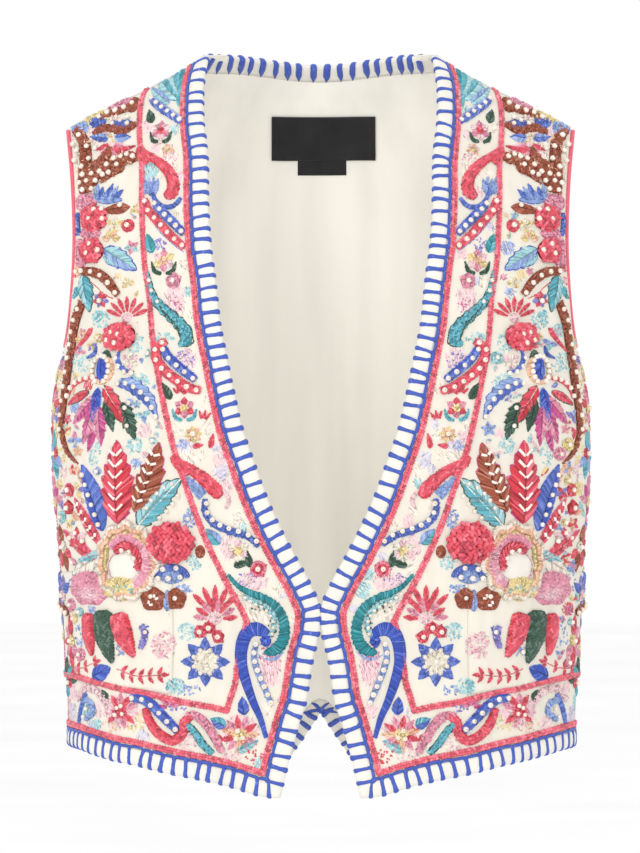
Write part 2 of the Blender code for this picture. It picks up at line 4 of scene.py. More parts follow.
import bmesh
import bpy
import numpy as np
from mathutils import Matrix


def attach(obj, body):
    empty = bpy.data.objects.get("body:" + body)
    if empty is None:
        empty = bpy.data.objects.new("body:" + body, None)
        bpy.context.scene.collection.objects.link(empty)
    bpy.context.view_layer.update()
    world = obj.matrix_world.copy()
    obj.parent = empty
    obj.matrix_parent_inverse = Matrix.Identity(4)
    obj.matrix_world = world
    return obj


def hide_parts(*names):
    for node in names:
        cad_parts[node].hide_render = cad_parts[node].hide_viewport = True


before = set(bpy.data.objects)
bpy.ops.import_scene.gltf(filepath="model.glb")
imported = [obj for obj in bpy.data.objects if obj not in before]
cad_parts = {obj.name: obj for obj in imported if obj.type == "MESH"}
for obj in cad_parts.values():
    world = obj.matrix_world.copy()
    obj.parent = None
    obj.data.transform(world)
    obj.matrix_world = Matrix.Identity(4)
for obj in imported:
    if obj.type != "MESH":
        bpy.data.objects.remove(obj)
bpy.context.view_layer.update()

# Sizes are in millimetres. Drop is measured down from the top of the shoulders, girth round from centre.
MM = 0.001
QUARTER = math.pi / 2
SIDES = ((-1, "left"), (1, "right"))

# The cut of the garment, the same as in its solids.
SECTION_POWER = 2.3
HALF_WIDTH = ((-60, 196), (120, 196), (140, 194.5), (160, 191), (173, 188), (185, 184.8), (195, 182.6),
              (203, 181.6), (210, 182), (222, 184.5), (235, 187.5), (262, 190), (280, 190.5), (306, 189.5),
              (334, 187), (366, 184.5), (385, 182.3), (405, 180.5), (445, 179.2), (540, 179))
FRONT_DEPTH = ((-60, 118), (200, 118), (260, 120), (330, 116), (400, 110), (460, 107), (540, 108))
BACK_DEPTH = ((-60, 102), (150, 104), (230, 101), (300, 96), (380, 90), (440, 89), (540, 93))
CREST = ((0, -37), (20, -33), (40, -22), (60, -10), (80, 1), (100, 12.5), (125, 26), (150, 38), (180, 53.5),
         (200, 66))
FRONT_ROUND = (200, 1.5)
BACK_ROUND = (145, 1.6)
NECK_EDGE = ((1, 80), (19, 83), (47, 83.2), (75, 80), (111, 79), (138, 77), (165, 73.4), (191, 70.6),
             (218, 65.3), (244, 59.8), (266, 54.6), (291, 45.9), (311, 38.7), (331, 30), (350, 20.4),
             (375, 6.9), (391, 0.6), (400, 0.4))
LOWER_EDGE = ((400, 0.4), (412, 2.1), (422, 4.8), (439, 7.9), (458, 11), (468, 14.5), (485, 19.3),
              (495, 22.1), (522, 28.2))
FRONT_HEM = ((28.2, 522), (42.5, 520.4), (58.5, 515.5), (80, 510.3), (106.5, 505.5), (125.5, 501),
             (147, 497.5), (161, 494.4), (170.6, 492), (179.2, 490.5))
BACK_HEM = ((0, 471.4), (13, 491), (26, 510), (45, 509.5), (80, 507), (130, 500), (179.2, 490.5))
BACK_NECK = ((0, 5), (20, 4), (40, 2), (60, 0.5), (80, 1))
ARMHOLE = ((53.5, 178), (85, 174.5), (107, 173), (138, 172.3), (173, 174.5), (185, 176), (195, 177.7),
           (203, 179.7), (208, 181.3), (210, 182))
TIP_DROP = 400
CORNER_DROP = 522
CORNER_WIDTH = 28.2
CORNER_ROOM = 4.5
HEM_HALF = 179.2
SHOULDER_TIP_DROP = 53.5
UNDERARM_DROP = 210
SIDE_HEM_DROP = 490.5
NECK_HALF = 80
FRONT_THICK = 1.6
BACK_THICK = 1.4
LINING_THICK = 1.0
BINDING_THICK = 0.3
LINING_DEPTH = 1.75
SEAM_HALF = 0.2
UNDERARM_ROW = 0.4
OUTER_BRAID_AT = 15.5
INNER_BRAID_AT = 50.5
PIPING_RADIUS = 1.5
POCKET_LIFT = 1.5
POCKET_SHARES = (0.795, 0.88)
POCKET_INNER_WIDTH = 102.6
LABEL_BOX = ((-36.6, 41), (39, 70.5))
TAB_BOX = ((-17, 19.2), (69.2, 81.4))

# The camera and what one of its pixels covers at the middle of the garment.
CAMERA_PLACE = (-0.36, -4000, -265)
FRAME_HEIGHT = 606.5
FRAME_ROWS = 853
PIXEL = FRAME_HEIGHT / FRAME_ROWS
MIDDLE_COLUMN = 320.5
MIDDLE_ROW = 426.7

# Thread, cloth and bead colours in 0 to 255 steps.
COLOURS = {
    "coral": (222, 78, 96),
    "red": (210, 52, 68),
    "deep_red": (168, 36, 54),
    "pink": (226, 148, 170),
    "pale_pink": (240, 204, 208),
    "mist": (214, 208, 226),
    "sand": (242, 230, 216),
    "magenta": (206, 84, 146),
    "blue": (82, 108, 192),
    "deep_blue": (56, 86, 190),
    "light_blue": (146, 170, 220),
    "teal": (40, 146, 156),
    "turquoise": (96, 178, 194),
    "aqua": (164, 210, 216),
    "rust": (158, 76, 48),
    "green": (50, 84, 66),
    "yellow": (234, 212, 150),
    "peach": (238, 190, 158),
    "cream": (238, 230, 212),
    "violet": (144, 134, 204),
    "braid": (228, 96, 114),
    "edge_blue": (56, 84, 178),
}


def unit(vectors):
    """Vectors made one long."""
    return vectors / np.linalg.norm(vectors, axis=-1, keepdims=True)


def curve(table, value):
    """Smooth curve through a small table of position and value."""
    keys = np.array([row[0] for row in table], dtype=float)
    heights = np.array([row[1] for row in table], dtype=float)
    slopes = np.gradient(heights, keys)
    value = np.clip(np.asarray(value, dtype=float), keys[0], keys[-1])
    i = np.clip(np.searchsorted(keys, value) - 1, 0, len(keys) - 2)
    span = keys[i + 1] - keys[i]
    t = (value - keys[i]) / span
    near = (2 * t ** 3 - 3 * t ** 2 + 1) * heights[i] + (t ** 3 - 2 * t ** 2 + t) * span * slopes[i]
    far = (3 * t ** 2 - 2 * t ** 3) * heights[i + 1] + (t ** 3 - t ** 2) * span * slopes[i + 1]
    return near + far


def shoulder_round(drop, across, shape):
    """How far the cloth has turned from the shoulder crest, 0 on it and 1 below it."""
    height, power = shape
    t = np.clip((drop - curve(CREST, np.abs(across))) / height, 0, 1)
    return (1 - (1 - t) ** power) ** (1 / power)


def hang(theta, drop, side):
    """Soft hollows and swells of the cloth below the chest, in millimetres outward."""
    ramp = np.clip((drop - 230) / 220, 0, 1)
    swell = 1.5 * np.sin(4.2 * theta + 0.6 * side) + 1.0 * np.sin(7.4 * theta + 1.3 * side + 0.006 * drop)
    return ramp * swell * np.sin(theta) ** 2


def skin(theta, drop, side):
    """Outer face of the cloth; theta runs from centre front 0 round to centre back pi."""
    theta, drop = np.broadcast_arrays(np.asarray(theta, dtype=float), np.asarray(drop, dtype=float))
    loose = hang(theta, drop, side)
    spread = np.sign(np.sin(theta)) * np.abs(np.sin(theta)) ** (2 / SECTION_POWER)
    across = (curve(HALF_WIDTH, drop) + loose * np.sin(theta)) * spread
    reach = np.abs(np.cos(theta)) ** (2 / SECTION_POWER)
    front = -(curve(FRONT_DEPTH, drop) + loose) * reach * shoulder_round(drop, across, FRONT_ROUND)
    back = (curve(BACK_DEPTH, drop) + loose) * reach * shoulder_round(drop, across, BACK_ROUND)
    depth = np.where(theta < QUARTER, front, back)
    return np.stack([side * across, depth, -drop], axis=-1)


def outward(theta, drop, side):
    """Unit normal of the outer face."""
    turn = 0.004
    step = 0.5
    round_way = skin(theta + turn, drop, side) - skin(theta - turn, drop, side)
    down_way = skin(theta, drop + step, side) - skin(theta, drop, side)
    normal = np.cross(down_way, round_way) * side
    return unit(normal)


def theta_of_width(width, drop):
    """Section angle at which the cloth stands a given half width from the centre."""
    share = np.clip(np.asarray(width, dtype=float) / curve(HALF_WIDTH, drop), 0, 1)
    return np.arcsin(share ** (SECTION_POWER / 2))


# Soft creases of the fronts: girth, drop, half length, half width, lean in degrees, height outward.
FRONT_CREASES = (
    (150, 190, 60, 14, -52, -1.5),
    (176, 232, 55, 11, -38, 1.3),
    (118, 150, 70, 16, -70, 1.0),
    (205, 300, 90, 12, 6, -1.3),
    (92, 250, 80, 15, -15, -0.8),
    (30, 440, 60, 12, 20, 1.2),
    (75, 475, 45, 14, 8, -1.4),
    (120, 480, 40, 12, -6, 1.5),
    (165, 470, 50, 11, 4, -1.2),
    (225, 400, 80, 10, 3, 1.2),
)
# Soft creases of the back and its lining: girth from centre back, drop, half length, half width, lean and
# height.
BACK_CREASES = (
    (-52, 230, 170, 17, 3, 1.8),
    (-12, 260, 190, 9, -2, -1.6),
    (46, 210, 180, 15, -4, 1.9),
    (88, 330, 120, 19, 6, -1.3),
    (-98, 340, 130, 16, -7, -1.2),
    (140, 260, 90, 14, 24, 1.4),
    (-146, 250, 100, 15, -22, 1.3),
    (22, 430, 60, 12, 5, -1.4),
    (-30, 445, 50, 13, -8, 1.2),
)


def creases(table, girth, drop):
    """Sum of long soft ridges and troughs, in millimetres outward."""
    total = np.zeros(np.broadcast(girth, drop).shape)
    for middle, level, length, width, lean, height in table:
        turn = math.radians(lean)
        x = (girth - middle) * math.cos(turn) + (drop - level) * math.sin(turn)
        y = (drop - level) * math.cos(turn) - (girth - middle) * math.sin(turn)
        x = x + 0.06 * y * np.sin(y / length * 2.1)
        total = total + height * np.exp(-(x / width) ** 2 - (y / length) ** 2)
    return total


DROP_STEP = 2.0
GIRTH_STEP = 1.5
DROPS = np.arange(-60, 542, DROP_STEP)
GIRTHS = np.arange(-30, 306, GIRTH_STEP)


def girth_rows(angles, side, start):
    """Distance round each row of drops from the start angle, at the given angles."""
    points = skin(start + angles[None, :] * (1 if start == 0 else -1), DROPS[:, None], side)
    steps = np.linalg.norm(np.diff(points, axis=1), axis=-1)
    rounds = np.concatenate([np.zeros((len(DROPS), 1)), np.cumsum(steps, axis=1)], axis=1)
    zero = np.array([np.interp(0, angles, row) for row in rounds])
    return rounds - zero[:, None]


def surface(side, start, table):
    """Grid of points and normals of one half of the cloth over girth and drop."""
    angles = np.linspace(-0.3, QUARTER + 0.35, 261)
    rounds = girth_rows(angles, side, start)
    turn = np.array([np.interp(GIRTHS, row, angles) for row in rounds])
    theta = start + turn * (1 if start == 0 else -1)
    drop = DROPS[:, None]
    points = skin(theta, drop, side)
    normals = outward(theta, drop, side)
    girth = GIRTHS if start == 0 else GIRTHS * side
    lift = creases(table, girth[None, :], drop)
    room = np.clip((drop - 20) / 60, 0, 1)
    return points + normals * (lift * room)[..., None], normals


FRONT = {side: surface(side, 0, FRONT_CREASES) for side, _ in SIDES}
BACK = {side: surface(side, math.pi, BACK_CREASES) for side, _ in SIDES}


def between(grid, row, column):
    """Value of a grid at uneven rows and columns, straight between its points."""
    i, k = row.astype(int), column.astype(int)
    down, across = row - i, column - k
    if grid.ndim > 2:
        down, across = down[..., None], across[..., None]
    upper = grid[i, k] * (1 - across) + grid[i, k + 1] * across
    lower = grid[i + 1, k] * (1 - across) + grid[i + 1, k + 1] * across
    return upper * (1 - down) + lower * down


def drop_row(drop):
    """Row of the grids at a drop."""
    return np.clip((drop - DROPS[0]) / DROP_STEP, 0, len(DROPS) - 1.001)


def grid_value(grid, girth, drop):
    """Value of a grid of the cloth at girths and drops."""
    return between(grid, drop_row(drop), np.clip((girth - GIRTHS[0]) / GIRTH_STEP, 0, len(GIRTHS) - 1.001))


def place(flat, height, side):
    """Point of a front at a height above its cloth, from girth and drop."""
    points, normals = FRONT[side]
    lift = np.broadcast_to(np.asarray(height, dtype=float), flat.shape[:-1])[..., None]
    girth, drop = flat[..., 0], flat[..., 1]
    return grid_value(points, girth, drop) + grid_value(normals, girth, drop) * lift


def place_back(flat, height):
    """Point of the back at a height above its cloth; girth is below 0 on the left half."""
    lift = np.broadcast_to(np.asarray(height, dtype=float), flat.shape[:-1])[..., None]
    found = []
    for side, _ in SIDES:
        points, normals = BACK[side]
        girth, drop = flat[..., 0] * side, flat[..., 1]
        found.append(grid_value(points, girth, drop) + grid_value(normals, girth, drop) * lift)
    return np.where((flat[..., 0] < 0)[..., None], found[0], found[1])


ROUNDS = {
    (side, start): girth_rows(np.linspace(0, QUARTER, 181), side, start)
    for side, _ in SIDES for start in (0, math.pi)
}


def girth_of(turn, drop, side, start=0):
    """Distance round from centre front or centre back of points given by their angle from it."""
    rounds = ROUNDS[(side, start)]
    turn, drop = np.broadcast_arrays(np.asarray(turn, dtype=float), np.asarray(drop, dtype=float))
    return between(rounds, drop_row(drop), np.clip(turn / QUARTER * 180, 0, 179.999))


def flat_line(widths, drops, side, start=0):
    """Girths and drops of places on a half of the cloth given by their half width from the centre."""
    return np.stack([girth_of(theta_of_width(widths, drops), drops, side, start), drops], axis=1)


def picked(line, steps, spots):
    """Places of a line of points at distances along it, given the distances of its points."""
    return np.stack([np.interp(spots, steps, column) for column in line.T], axis=-1)


def lengths(line):
    """Distance of each point of a line from its start."""
    return np.concatenate([[0], np.cumsum(np.linalg.norm(np.diff(line, axis=0), axis=1))])


def pointing(turn):
    """Flat unit vectors at angles from the girth's way."""
    return np.stack([np.cos(turn), np.sin(turn)], axis=-1)


def clock(turn):
    """Flat unit vector at an angle turned clockwise from straight up."""
    return np.array([math.sin(turn), -math.cos(turn)])


def stretches(side):
    """How much longer the cloth is than its width seen from the front, over girth and drop."""
    points = FRONT[side][0]
    seen_step = np.abs(np.gradient(points[..., 0], axis=1))
    return np.clip(1.5 / np.maximum(seen_step, 0.1), 1.0, 1.65)[..., None]


STRETCH = {side: stretches(side) for side, _ in SIDES}


def widened(flat, offset, side):
    """Offset from a flat place with its share across widened where the cloth turns away."""
    factor = grid_value(STRETCH[side], flat[..., 0], flat[..., 1])[..., 0]
    return np.stack([offset[..., 0] * factor, np.broadcast_to(offset[..., 1], factor.shape)], axis=-1)


def limit_line(side):
    """Drop and girth of the armhole and side seam."""
    shares = np.linspace(0, 1, 160)
    drops = side_drop(shares)
    return drops, girth_of(side_theta(shares), drops, side)


def seen(column, row):
    """Girth and drop of the place on a front that the camera sees at a column and row of its frame."""
    column, row = np.broadcast_arrays(np.asarray(column, dtype=float), np.asarray(row, dtype=float))
    depth = -100.0
    for _ in range(5):
        near = (-CAMERA_PLACE[1] + depth) / -CAMERA_PLACE[1]
        width = PIXEL * near * np.abs(column - MIDDLE_COLUMN)
        drop = -CAMERA_PLACE[2] + PIXEL * near * (row - MIDDLE_ROW)
        theta = theta_of_width(width, drop)
        depth = skin(theta, drop, -1)[..., 1]
    return np.stack([girth_of(theta, drop, -1), drop], axis=-1)


def trail(*places):
    """Girths and drops of several places of the camera's frame."""
    places = np.array(places, dtype=float)
    return seen(places[:, 0], places[:, 1])


# Meshes and materials.
def link_mesh(name, points, corners, sizes, looks, face_looks=None, closed=False):
    """Mesh object from millimetre points, a flat array of corners and the corner count of each face."""
    mesh = bpy.data.meshes.new(name)
    mesh.vertices.add(len(points))
    mesh.vertices.foreach_set("co", (np.asarray(points, dtype=float) * MM).ravel())
    mesh.loops.add(len(corners))
    mesh.loops.foreach_set("vertex_index", np.asarray(corners, dtype=np.int32))
    mesh.polygons.add(len(sizes))
    starts = np.concatenate([[0], np.cumsum(sizes)[:-1]])
    mesh.polygons.foreach_set("loop_start", starts.astype(np.int32))
    mesh.polygons.foreach_set("loop_total", np.asarray(sizes, dtype=np.int32))
    for look in looks:
        mesh.materials.append(look)
    if face_looks is not None:
        mesh.polygons.foreach_set("material_index", np.asarray(face_looks, dtype=np.int32))
    mesh.polygons.foreach_set("use_smooth", np.full(len(sizes), True))
    mesh.update(calc_edges=True)
    mesh.validate()
    if closed:
        shape = bmesh.new()
        shape.from_mesh(mesh)
        bmesh.ops.recalc_face_normals(shape, faces=shape.faces)
        shape.to_mesh(mesh)
        shape.free()
    piece = bpy.data.objects.new(name, mesh)
    bpy.context.scene.collection.objects.link(piece)
    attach(piece, "root")
    return piece


def grid_faces(rows, columns, first=0, flip=False, closed=False):
    """Corner numbers of the faces between the points of a grid; closed joins the last column to the first."""
    r = np.arange(rows - 1)[:, None]
    c = np.arange(columns if closed else columns - 1)[None, :]
    n = (c + 1) % columns
    quad = np.stack(np.broadcast_arrays(r * columns + c, r * columns + n, (r + 1) * columns + n,
                                        (r + 1) * columns + c), axis=-1).reshape(-1, 4) + first
    return quad[:, ::-1] if flip else quad


def wall(name, outer, inner, looks):
    """Thin closed wall between two matching grids; the last material is on its inner face."""
    rows, columns = outer.shape[:2]
    under = rows * columns
    top = grid_faces(rows, columns)
    low = grid_faces(rows, columns, under, True)
    rim = list(range(columns))
    rim += [r * columns + columns - 1 for r in range(1, rows)]
    rim += [(rows - 1) * columns + c for c in range(columns - 2, -1, -1)]
    rim += [r * columns for r in range(rows - 2, 0, -1)]
    rim = np.array(rim)
    after = np.roll(rim, -1)
    side = np.stack([after, rim, rim + under, after + under], axis=1)
    faces = np.concatenate([top, low, side])
    index = np.concatenate([np.zeros(len(top)), np.full(len(low), len(looks) - 1), np.zeros(len(side))])
    points = np.concatenate([outer.reshape(-1, 3), inner.reshape(-1, 3)])
    return link_mesh(name, points, faces.ravel(), np.full(len(faces), 4), looks, index, True)


def sheet_of(name, faces, looks, node):
    """Cloth wall between an outer and an inner face that replaces a solid, cut to its flat size."""
    piece = wall(name, *faces, looks)
    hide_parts(node)


def linear(colour):
    """Scene-linear colour from 0 to 255 steps."""
    return (*[(c / 255 / 12.92) if c <= 10 else ((c / 255 + 0.055) / 1.055) ** 2.4 for c in colour], 1)


class Look:
    """A material under construction, with short ways to add and join nodes."""

    def __init__(self, name, roughness, sheen=0.0):
        self.material = bpy.data.materials.new(name)
        self.material.use_nodes = True
        self.tree = self.material.node_tree
        self.shader = self.tree.nodes["Principled BSDF"]
        self.shader.inputs["Roughness"].default_value = roughness
        self.shader.inputs["Sheen Weight"].default_value = sheen
        self.shader.inputs["Sheen Roughness"].default_value = 0.45
        self.shader.inputs["Specular IOR Level"].default_value = 0.3
        self.place = self.node("ShaderNodeTexCoord").outputs["Object"]

    def node(self, kind, **values):
        """New node with its settings and input values."""
        made = self.tree.nodes.new(kind)
        for word, value in values.items():
            if hasattr(made, word):
                setattr(made, word, value)
            else:
                made.inputs[word.replace("_", " ")].default_value = value
        return made

    def join(self, output, target):
        """Link an output to an input."""
        self.tree.links.new(output, target)

    def noise(self, scale, detail=2.0, stretch=(1, 1, 1)):
        """Noise over the object's own metres, with its value as output."""
        stretched = self.node("ShaderNodeMapping")
        stretched.inputs["Scale"].default_value = stretch
        self.join(self.place, stretched.inputs["Vector"])
        made = self.node("ShaderNodeTexNoise", Scale=scale, Detail=detail)
        self.join(stretched.outputs["Vector"], made.inputs["Vector"])
        return made.outputs["Fac"]

    def wave(self, scale, way, distortion=1.0):
        """Fine parallel bands along one axis."""
        made = self.node("ShaderNodeTexWave", Scale=scale, Distortion=distortion, bands_direction=way)
        made.inputs["Detail"].default_value = 2
        self.join(self.place, made.inputs["Vector"])
        return made.outputs["Fac"]

    def math(self, operation, first, second):
        """Sum, product or other operation on two values or outputs."""
        made = self.node("ShaderNodeMath", operation=operation)
        for k, value in enumerate((first, second)):
            if isinstance(value, (int, float)):
                made.inputs[k].default_value = value
            else:
                self.join(value, made.inputs[k])
        return made.outputs["Value"]

    def colour(self, value, stops):
        """Base colour along a ramp of stops: place and 0 to 255 colour."""
        ramp = self.node("ShaderNodeValToRGB")
        while len(ramp.color_ramp.elements) < len(stops):
            ramp.color_ramp.elements.new(0.5)
        for element, (spot, shade) in zip(ramp.color_ramp.elements, stops):
            element.position = spot
            element.color = linear(shade)
        self.join(value, ramp.inputs["Fac"])
        self.join(ramp.outputs["Color"], self.shader.inputs["Base Color"])

    def bump(self, value, strength, distance):
        """Surface relief from a height value, distance in metres."""
        made = self.node("ShaderNodeBump", Strength=strength, Distance=distance)
        self.join(value, made.inputs["Height"])
        self.join(made.outputs["Normal"], self.shader.inputs["Normal"])

    def rough(self, value, low, high):
        """Roughness that varies between two values."""
        spread = self.math("MULTIPLY", value, high - low)
        self.join(self.math("ADD", spread, low), self.shader.inputs["Roughness"])


def shade(colour, factor):
    """Colour made lighter or darker."""
    return tuple(min(255, c * factor) for c in colour)


def cloth_look(name, colour, weave=900.0, nap=0.25, pucker=9.0):
    """Woven cloth with fine crossing yarns, slubs, small puckers and a soft nap."""
    look = Look(name, 0.8, nap)
    slub = look.noise(140, 4, (1, 1, 0.25))
    tone = look.noise(9, 3)
    mixed = look.math("ADD", look.math("MULTIPLY", slub, 0.5), look.math("MULTIPLY", tone, 0.5))
    look.colour(mixed, ((0.3, shade(colour, 0.962)), (0.55, colour), (0.75, shade(colour, 1.018))))
    yarns = look.math("ADD", look.wave(weave, "X"), look.wave(weave, "Z"))
    puckers = look.math("MULTIPLY", look.noise(75, 2), pucker)
    relief = look.math("ADD", yarns, look.math("MULTIPLY", slub, 1.2))
    look.bump(look.math("ADD", relief, puckers), 0.35, 0.00022)
    look.rough(slub, 0.72, 0.9)
    return look.material


def lining_look(name, colour):
    """Smooth lining with long soft vertical shading and a slight lustre."""
    look = Look(name, 0.62, 0.15)
    tall = look.noise(26, 3, (1, 1, 0.07))
    fine = look.noise(900, 2, (1, 1, 0.3))
    look.colour(tall, ((0.3, shade(colour, 0.955)), (0.55, colour), (0.75, shade(colour, 1.02))))
    look.bump(look.math("ADD", look.math("MULTIPLY", tall, 3.0), fine), 0.3, 0.0002)
    look.rough(tall, 0.55, 0.7)
    return look.material


def thread_look(name, colour, by_stitch=True):
    """Stranded cotton thread whose tone changes a little from stitch to stitch."""
    look = Look(name, 0.5, 0.15)
    look.shader.inputs["Specular IOR Level"].default_value = 0.5
    tone = look.noise(470, 1)
    each = look.node("ShaderNodeAttribute", attribute_name="tone").outputs["Fac"] if by_stitch else tone
    mixed = look.math("ADD", look.math("MULTIPLY", tone, 0.35), look.math("MULTIPLY", each, 0.65))
    light = tuple(min(255, c * 0.8 + 66) for c in colour)
    look.colour(mixed, ((0.16, shade(colour, 0.74)), (0.4, colour), (0.62, colour), (0.84, light)))
    strands = look.noise(2600, 2)
    look.bump(strands, 0.5, 0.00025)
    look.rough(tone, 0.36, 0.62)
    return look.material


def padding_shade_look(name, colour):
    """Deep thread colour, darkened as painted shade, for the padding that shows between the stitches."""
    look = Look(name, 0.8, 0.1)
    tone = look.noise(700, 2)
    # Both stops are the thread colour darkened (0.66 and 0.88): painted shade for the gaps between the
    # stitches.
    look.colour(tone, ((0.35, shade(colour, 0.66)), (0.65, shade(colour, 0.88))))
    look.bump(tone, 0.5, 0.0003)
    look.rough(tone, 0.7, 0.9)
    return look.material


def pearl_look():
    """Cream glass pearls with a soft lustre."""
    look = Look("pearl_beads", 0.22)
    tone = look.noise(160, 2)
    look.colour(tone, ((0.3, (236, 218, 200)), (0.55, (244, 234, 220)), (0.75, (250, 244, 236))))
    look.shader.inputs["Coat Weight"].default_value = 0.6
    look.shader.inputs["Coat Roughness"].default_value = 0.12
    look.shader.inputs["Specular IOR Level"].default_value = 0.5
    look.bump(look.noise(1500, 2), 0.15, 0.0001)
    look.rough(tone, 0.18, 0.34)
    return look.material


def bugle_look():
    """White glass tube beads."""
    look = Look("tube_beads", 0.2)
    tone = look.noise(260, 2)
    look.colour(tone, ((0.3, (238, 222, 206)), (0.6, (250, 244, 236))))
    look.shader.inputs["Coat Weight"].default_value = 0.5
    look.bump(look.noise(1200, 1), 0.1, 0.0001)
    look.rough(tone, 0.15, 0.32)
    return look.material


def label_look():
    """Black satin-woven label with a fine diagonal weave."""
    look = Look("label_satin", 0.5, 0.1)
    warp = look.wave(1500, "DIAGONAL", 0.3)
    tone = look.noise(60, 3)
    look.colour(tone, ((0.3, (20, 19, 22)), (0.6, (29, 28, 32)), (0.8, (36, 35, 40))))
    look.bump(warp, 0.4, 0.00012)
    look.rough(tone, 0.42, 0.6)
    return look.material


IVORY = cloth_look("ivory_cloth_look", (236, 230, 216))
BAND_IVORY = cloth_look("edge_cloth_look", (240, 236, 226), 1200, 0.35)
LINING = lining_look("lining_look", (246, 243, 234))
THREADS = {word: thread_look(word + "_thread", colour) for word, colour in COLOURS.items()}
EDGE_CORD = thread_look("edge_cord", COLOURS["edge_blue"], False)
ARMHOLE_CORD = thread_look("armhole_cord", COLOURS["braid"], False)
# Padding materials: each thread colour darkened as painted shade for the gaps between the stitches.
PAINTED_SHADE_PADDINGS = {word: padding_shade_look(word + "_padding", colour) for word, colour in COLOURS.items()}
PEARL = pearl_look()
BUGLE = bugle_look()
LABEL = label_look()


# Grids of the panels.
def side_drop(share):
    """Drop of the armhole and side seam at a share of the height."""
    share = np.asarray(share, dtype=float)
    part = np.clip(share / UNDERARM_ROW, 0, 1)
    fall = 0.45 * part + 0.55 * np.sin(part * QUARTER)
    low = np.clip((share - UNDERARM_ROW) / (1 - UNDERARM_ROW), 0, 1)
    upper = SHOULDER_TIP_DROP + (UNDERARM_DROP - SHOULDER_TIP_DROP) * fall
    return upper + (SIDE_HEM_DROP - UNDERARM_DROP) * low


def side_theta(share):
    """Angle of the armhole and side seam at a share of the height."""
    drop = side_drop(share)
    on_armhole = theta_of_width(curve(ARMHOLE, drop), drop)
    return np.where(np.asarray(share) < UNDERARM_ROW - 1e-6, on_armhole, QUARTER)


def edge_width(drop):
    """Half distance between the fronts at a drop."""
    return np.where(drop < TIP_DROP, curve(NECK_EDGE, drop), curve(LOWER_EDGE, drop))


def fine_shares():
    """Shares of the height of the shown cloth's rows, closer together over the shoulder."""
    return np.concatenate([np.linspace(0, 0.06, 16)[:-1], np.linspace(0.06, UNDERARM_ROW, 46)[:-1],
                           np.linspace(UNDERARM_ROW, 1, 80)])


def front_grid(shares, across):
    """Angles and drops of a front, rows from the shoulder down."""
    edge_drop = 1 + shares * (CORNER_DROP - 1)
    start = theta_of_width(edge_width(edge_drop), edge_drop)
    theta = start[:, None] + (side_theta(shares) - start)[:, None] * across[None, :]
    seam = side_drop(shares)
    drop = edge_drop[:, None] + (seam - edge_drop)[:, None] * across[None, :]
    first = start[0] + (side_theta(0) - start[0]) * across
    last = start[-1] + (QUARTER - start[-1]) * across
    top_drop = edge_drop[0] + (seam[0] - edge_drop[0]) * across
    hem_drop = edge_drop[-1] + (seam[-1] - edge_drop[-1]) * across
    top = curve(CREST, curve(HALF_WIDTH, 30) * np.sin(first) ** (2 / SECTION_POWER)) - top_drop
    hem = curve(FRONT_HEM, curve(HALF_WIDTH, 505) * np.sin(last) ** (2 / SECTION_POWER)) - hem_drop
    return theta, drop + (1 - shares)[:, None] * top[None, :] + shares[:, None] * hem[None, :]


def front_cloth(side, word):
    """Front cut in one piece, ivory outside and lined inside."""
    shares = fine_shares()
    theta, drop = front_grid(shares, np.linspace(0, 1, 66))
    flat = np.stack([girth_of(theta, drop, side), drop], axis=-1)
    outer = place(flat, 0, side)
    inner = place(flat, -FRONT_THICK, side)
    for face in (outer, inner):
        face[0, :, 1] = -SEAM_HALF
        face[:, -1, 1] = np.minimum(face[:, -1, 1], -SEAM_HALF)
    inner[0, :, 2] = outer[0, :, 2] - FRONT_THICK
    sheet_of("front_cloth_" + word, (outer, inner), [IVORY, LINING], "front_" + word)


def back_grid(shares, columns):
    """Angles from centre back and drops of one half of the back, from the centre out."""
    theta = side_theta(shares)[:, None] * columns[None, :]
    top_width = curve(HALF_WIDTH, 0) * np.sin(side_theta(0) * columns) ** (2 / SECTION_POWER)
    hem_width = curve(HALF_WIDTH, 505) * np.sin(QUARTER * columns) ** (2 / SECTION_POWER)
    top = np.where(top_width < NECK_HALF, curve(BACK_NECK, top_width), curve(CREST, top_width))
    hem = np.interp(hem_width, *zip(*BACK_HEM))
    seam = side_drop(shares)
    middle = top[0] + shares * (hem[0] - top[0])
    drop = middle[:, None] + (seam - middle)[:, None] * columns[None, :]
    first = top[0] + (side_drop(0) - top[0]) * columns
    last = hem[0] + (SIDE_HEM_DROP - hem[0]) * columns
    drop = drop + (1 - shares)[:, None] * (top - first)[None, :]
    drop = drop + shares[:, None] * (hem - last)[None, :]
    return theta, drop


def back_columns(count):
    """Shares across half the back with columns on the neck point and the hem notch."""
    marks = theta_of_width(np.array([0, 13, 26, 80, 178]), SHOULDER_TIP_DROP)
    marks = marks / marks[-1]
    each = (4, 4, 14, count - 22)
    parts = [np.linspace(marks[k], marks[k + 1], each[k] + 1)[:-1] for k in range(4)]
    return np.concatenate(parts + [[1.0]])


def back_flat(shares, columns):
    """Girths and drops of the whole back; girth is below 0 on the left half."""
    halves = []
    for side, _ in SIDES:
        theta, drop = back_grid(shares, columns)
        girth = girth_of(theta, drop, side, math.pi) * side
        halves.append(np.stack([girth, drop], axis=-1))
    return np.concatenate([halves[0][:, ::-1], halves[1][:, 1:]], axis=1)


def back_cloth():
    """Back cut in one piece with a notch at the hem."""
    columns = back_columns(44)
    flat = back_flat(fine_shares()[::2], columns)
    outer = place_back(flat, 0)
    inner = place_back(flat, -BACK_THICK)
    beyond = np.abs(flat[0, :, 0]) > NECK_HALF
    for face in (outer, inner):
        face[0, beyond, 1] = SEAM_HALF
        for edge in (0, -1):
            face[:, edge, 1] = np.maximum(face[:, edge, 1], SEAM_HALF)
    inner[0, beyond, 2] = outer[0, beyond, 2] - BACK_THICK
    sheet_of("back_cloth", (outer, inner), [IVORY, LINING], "back")


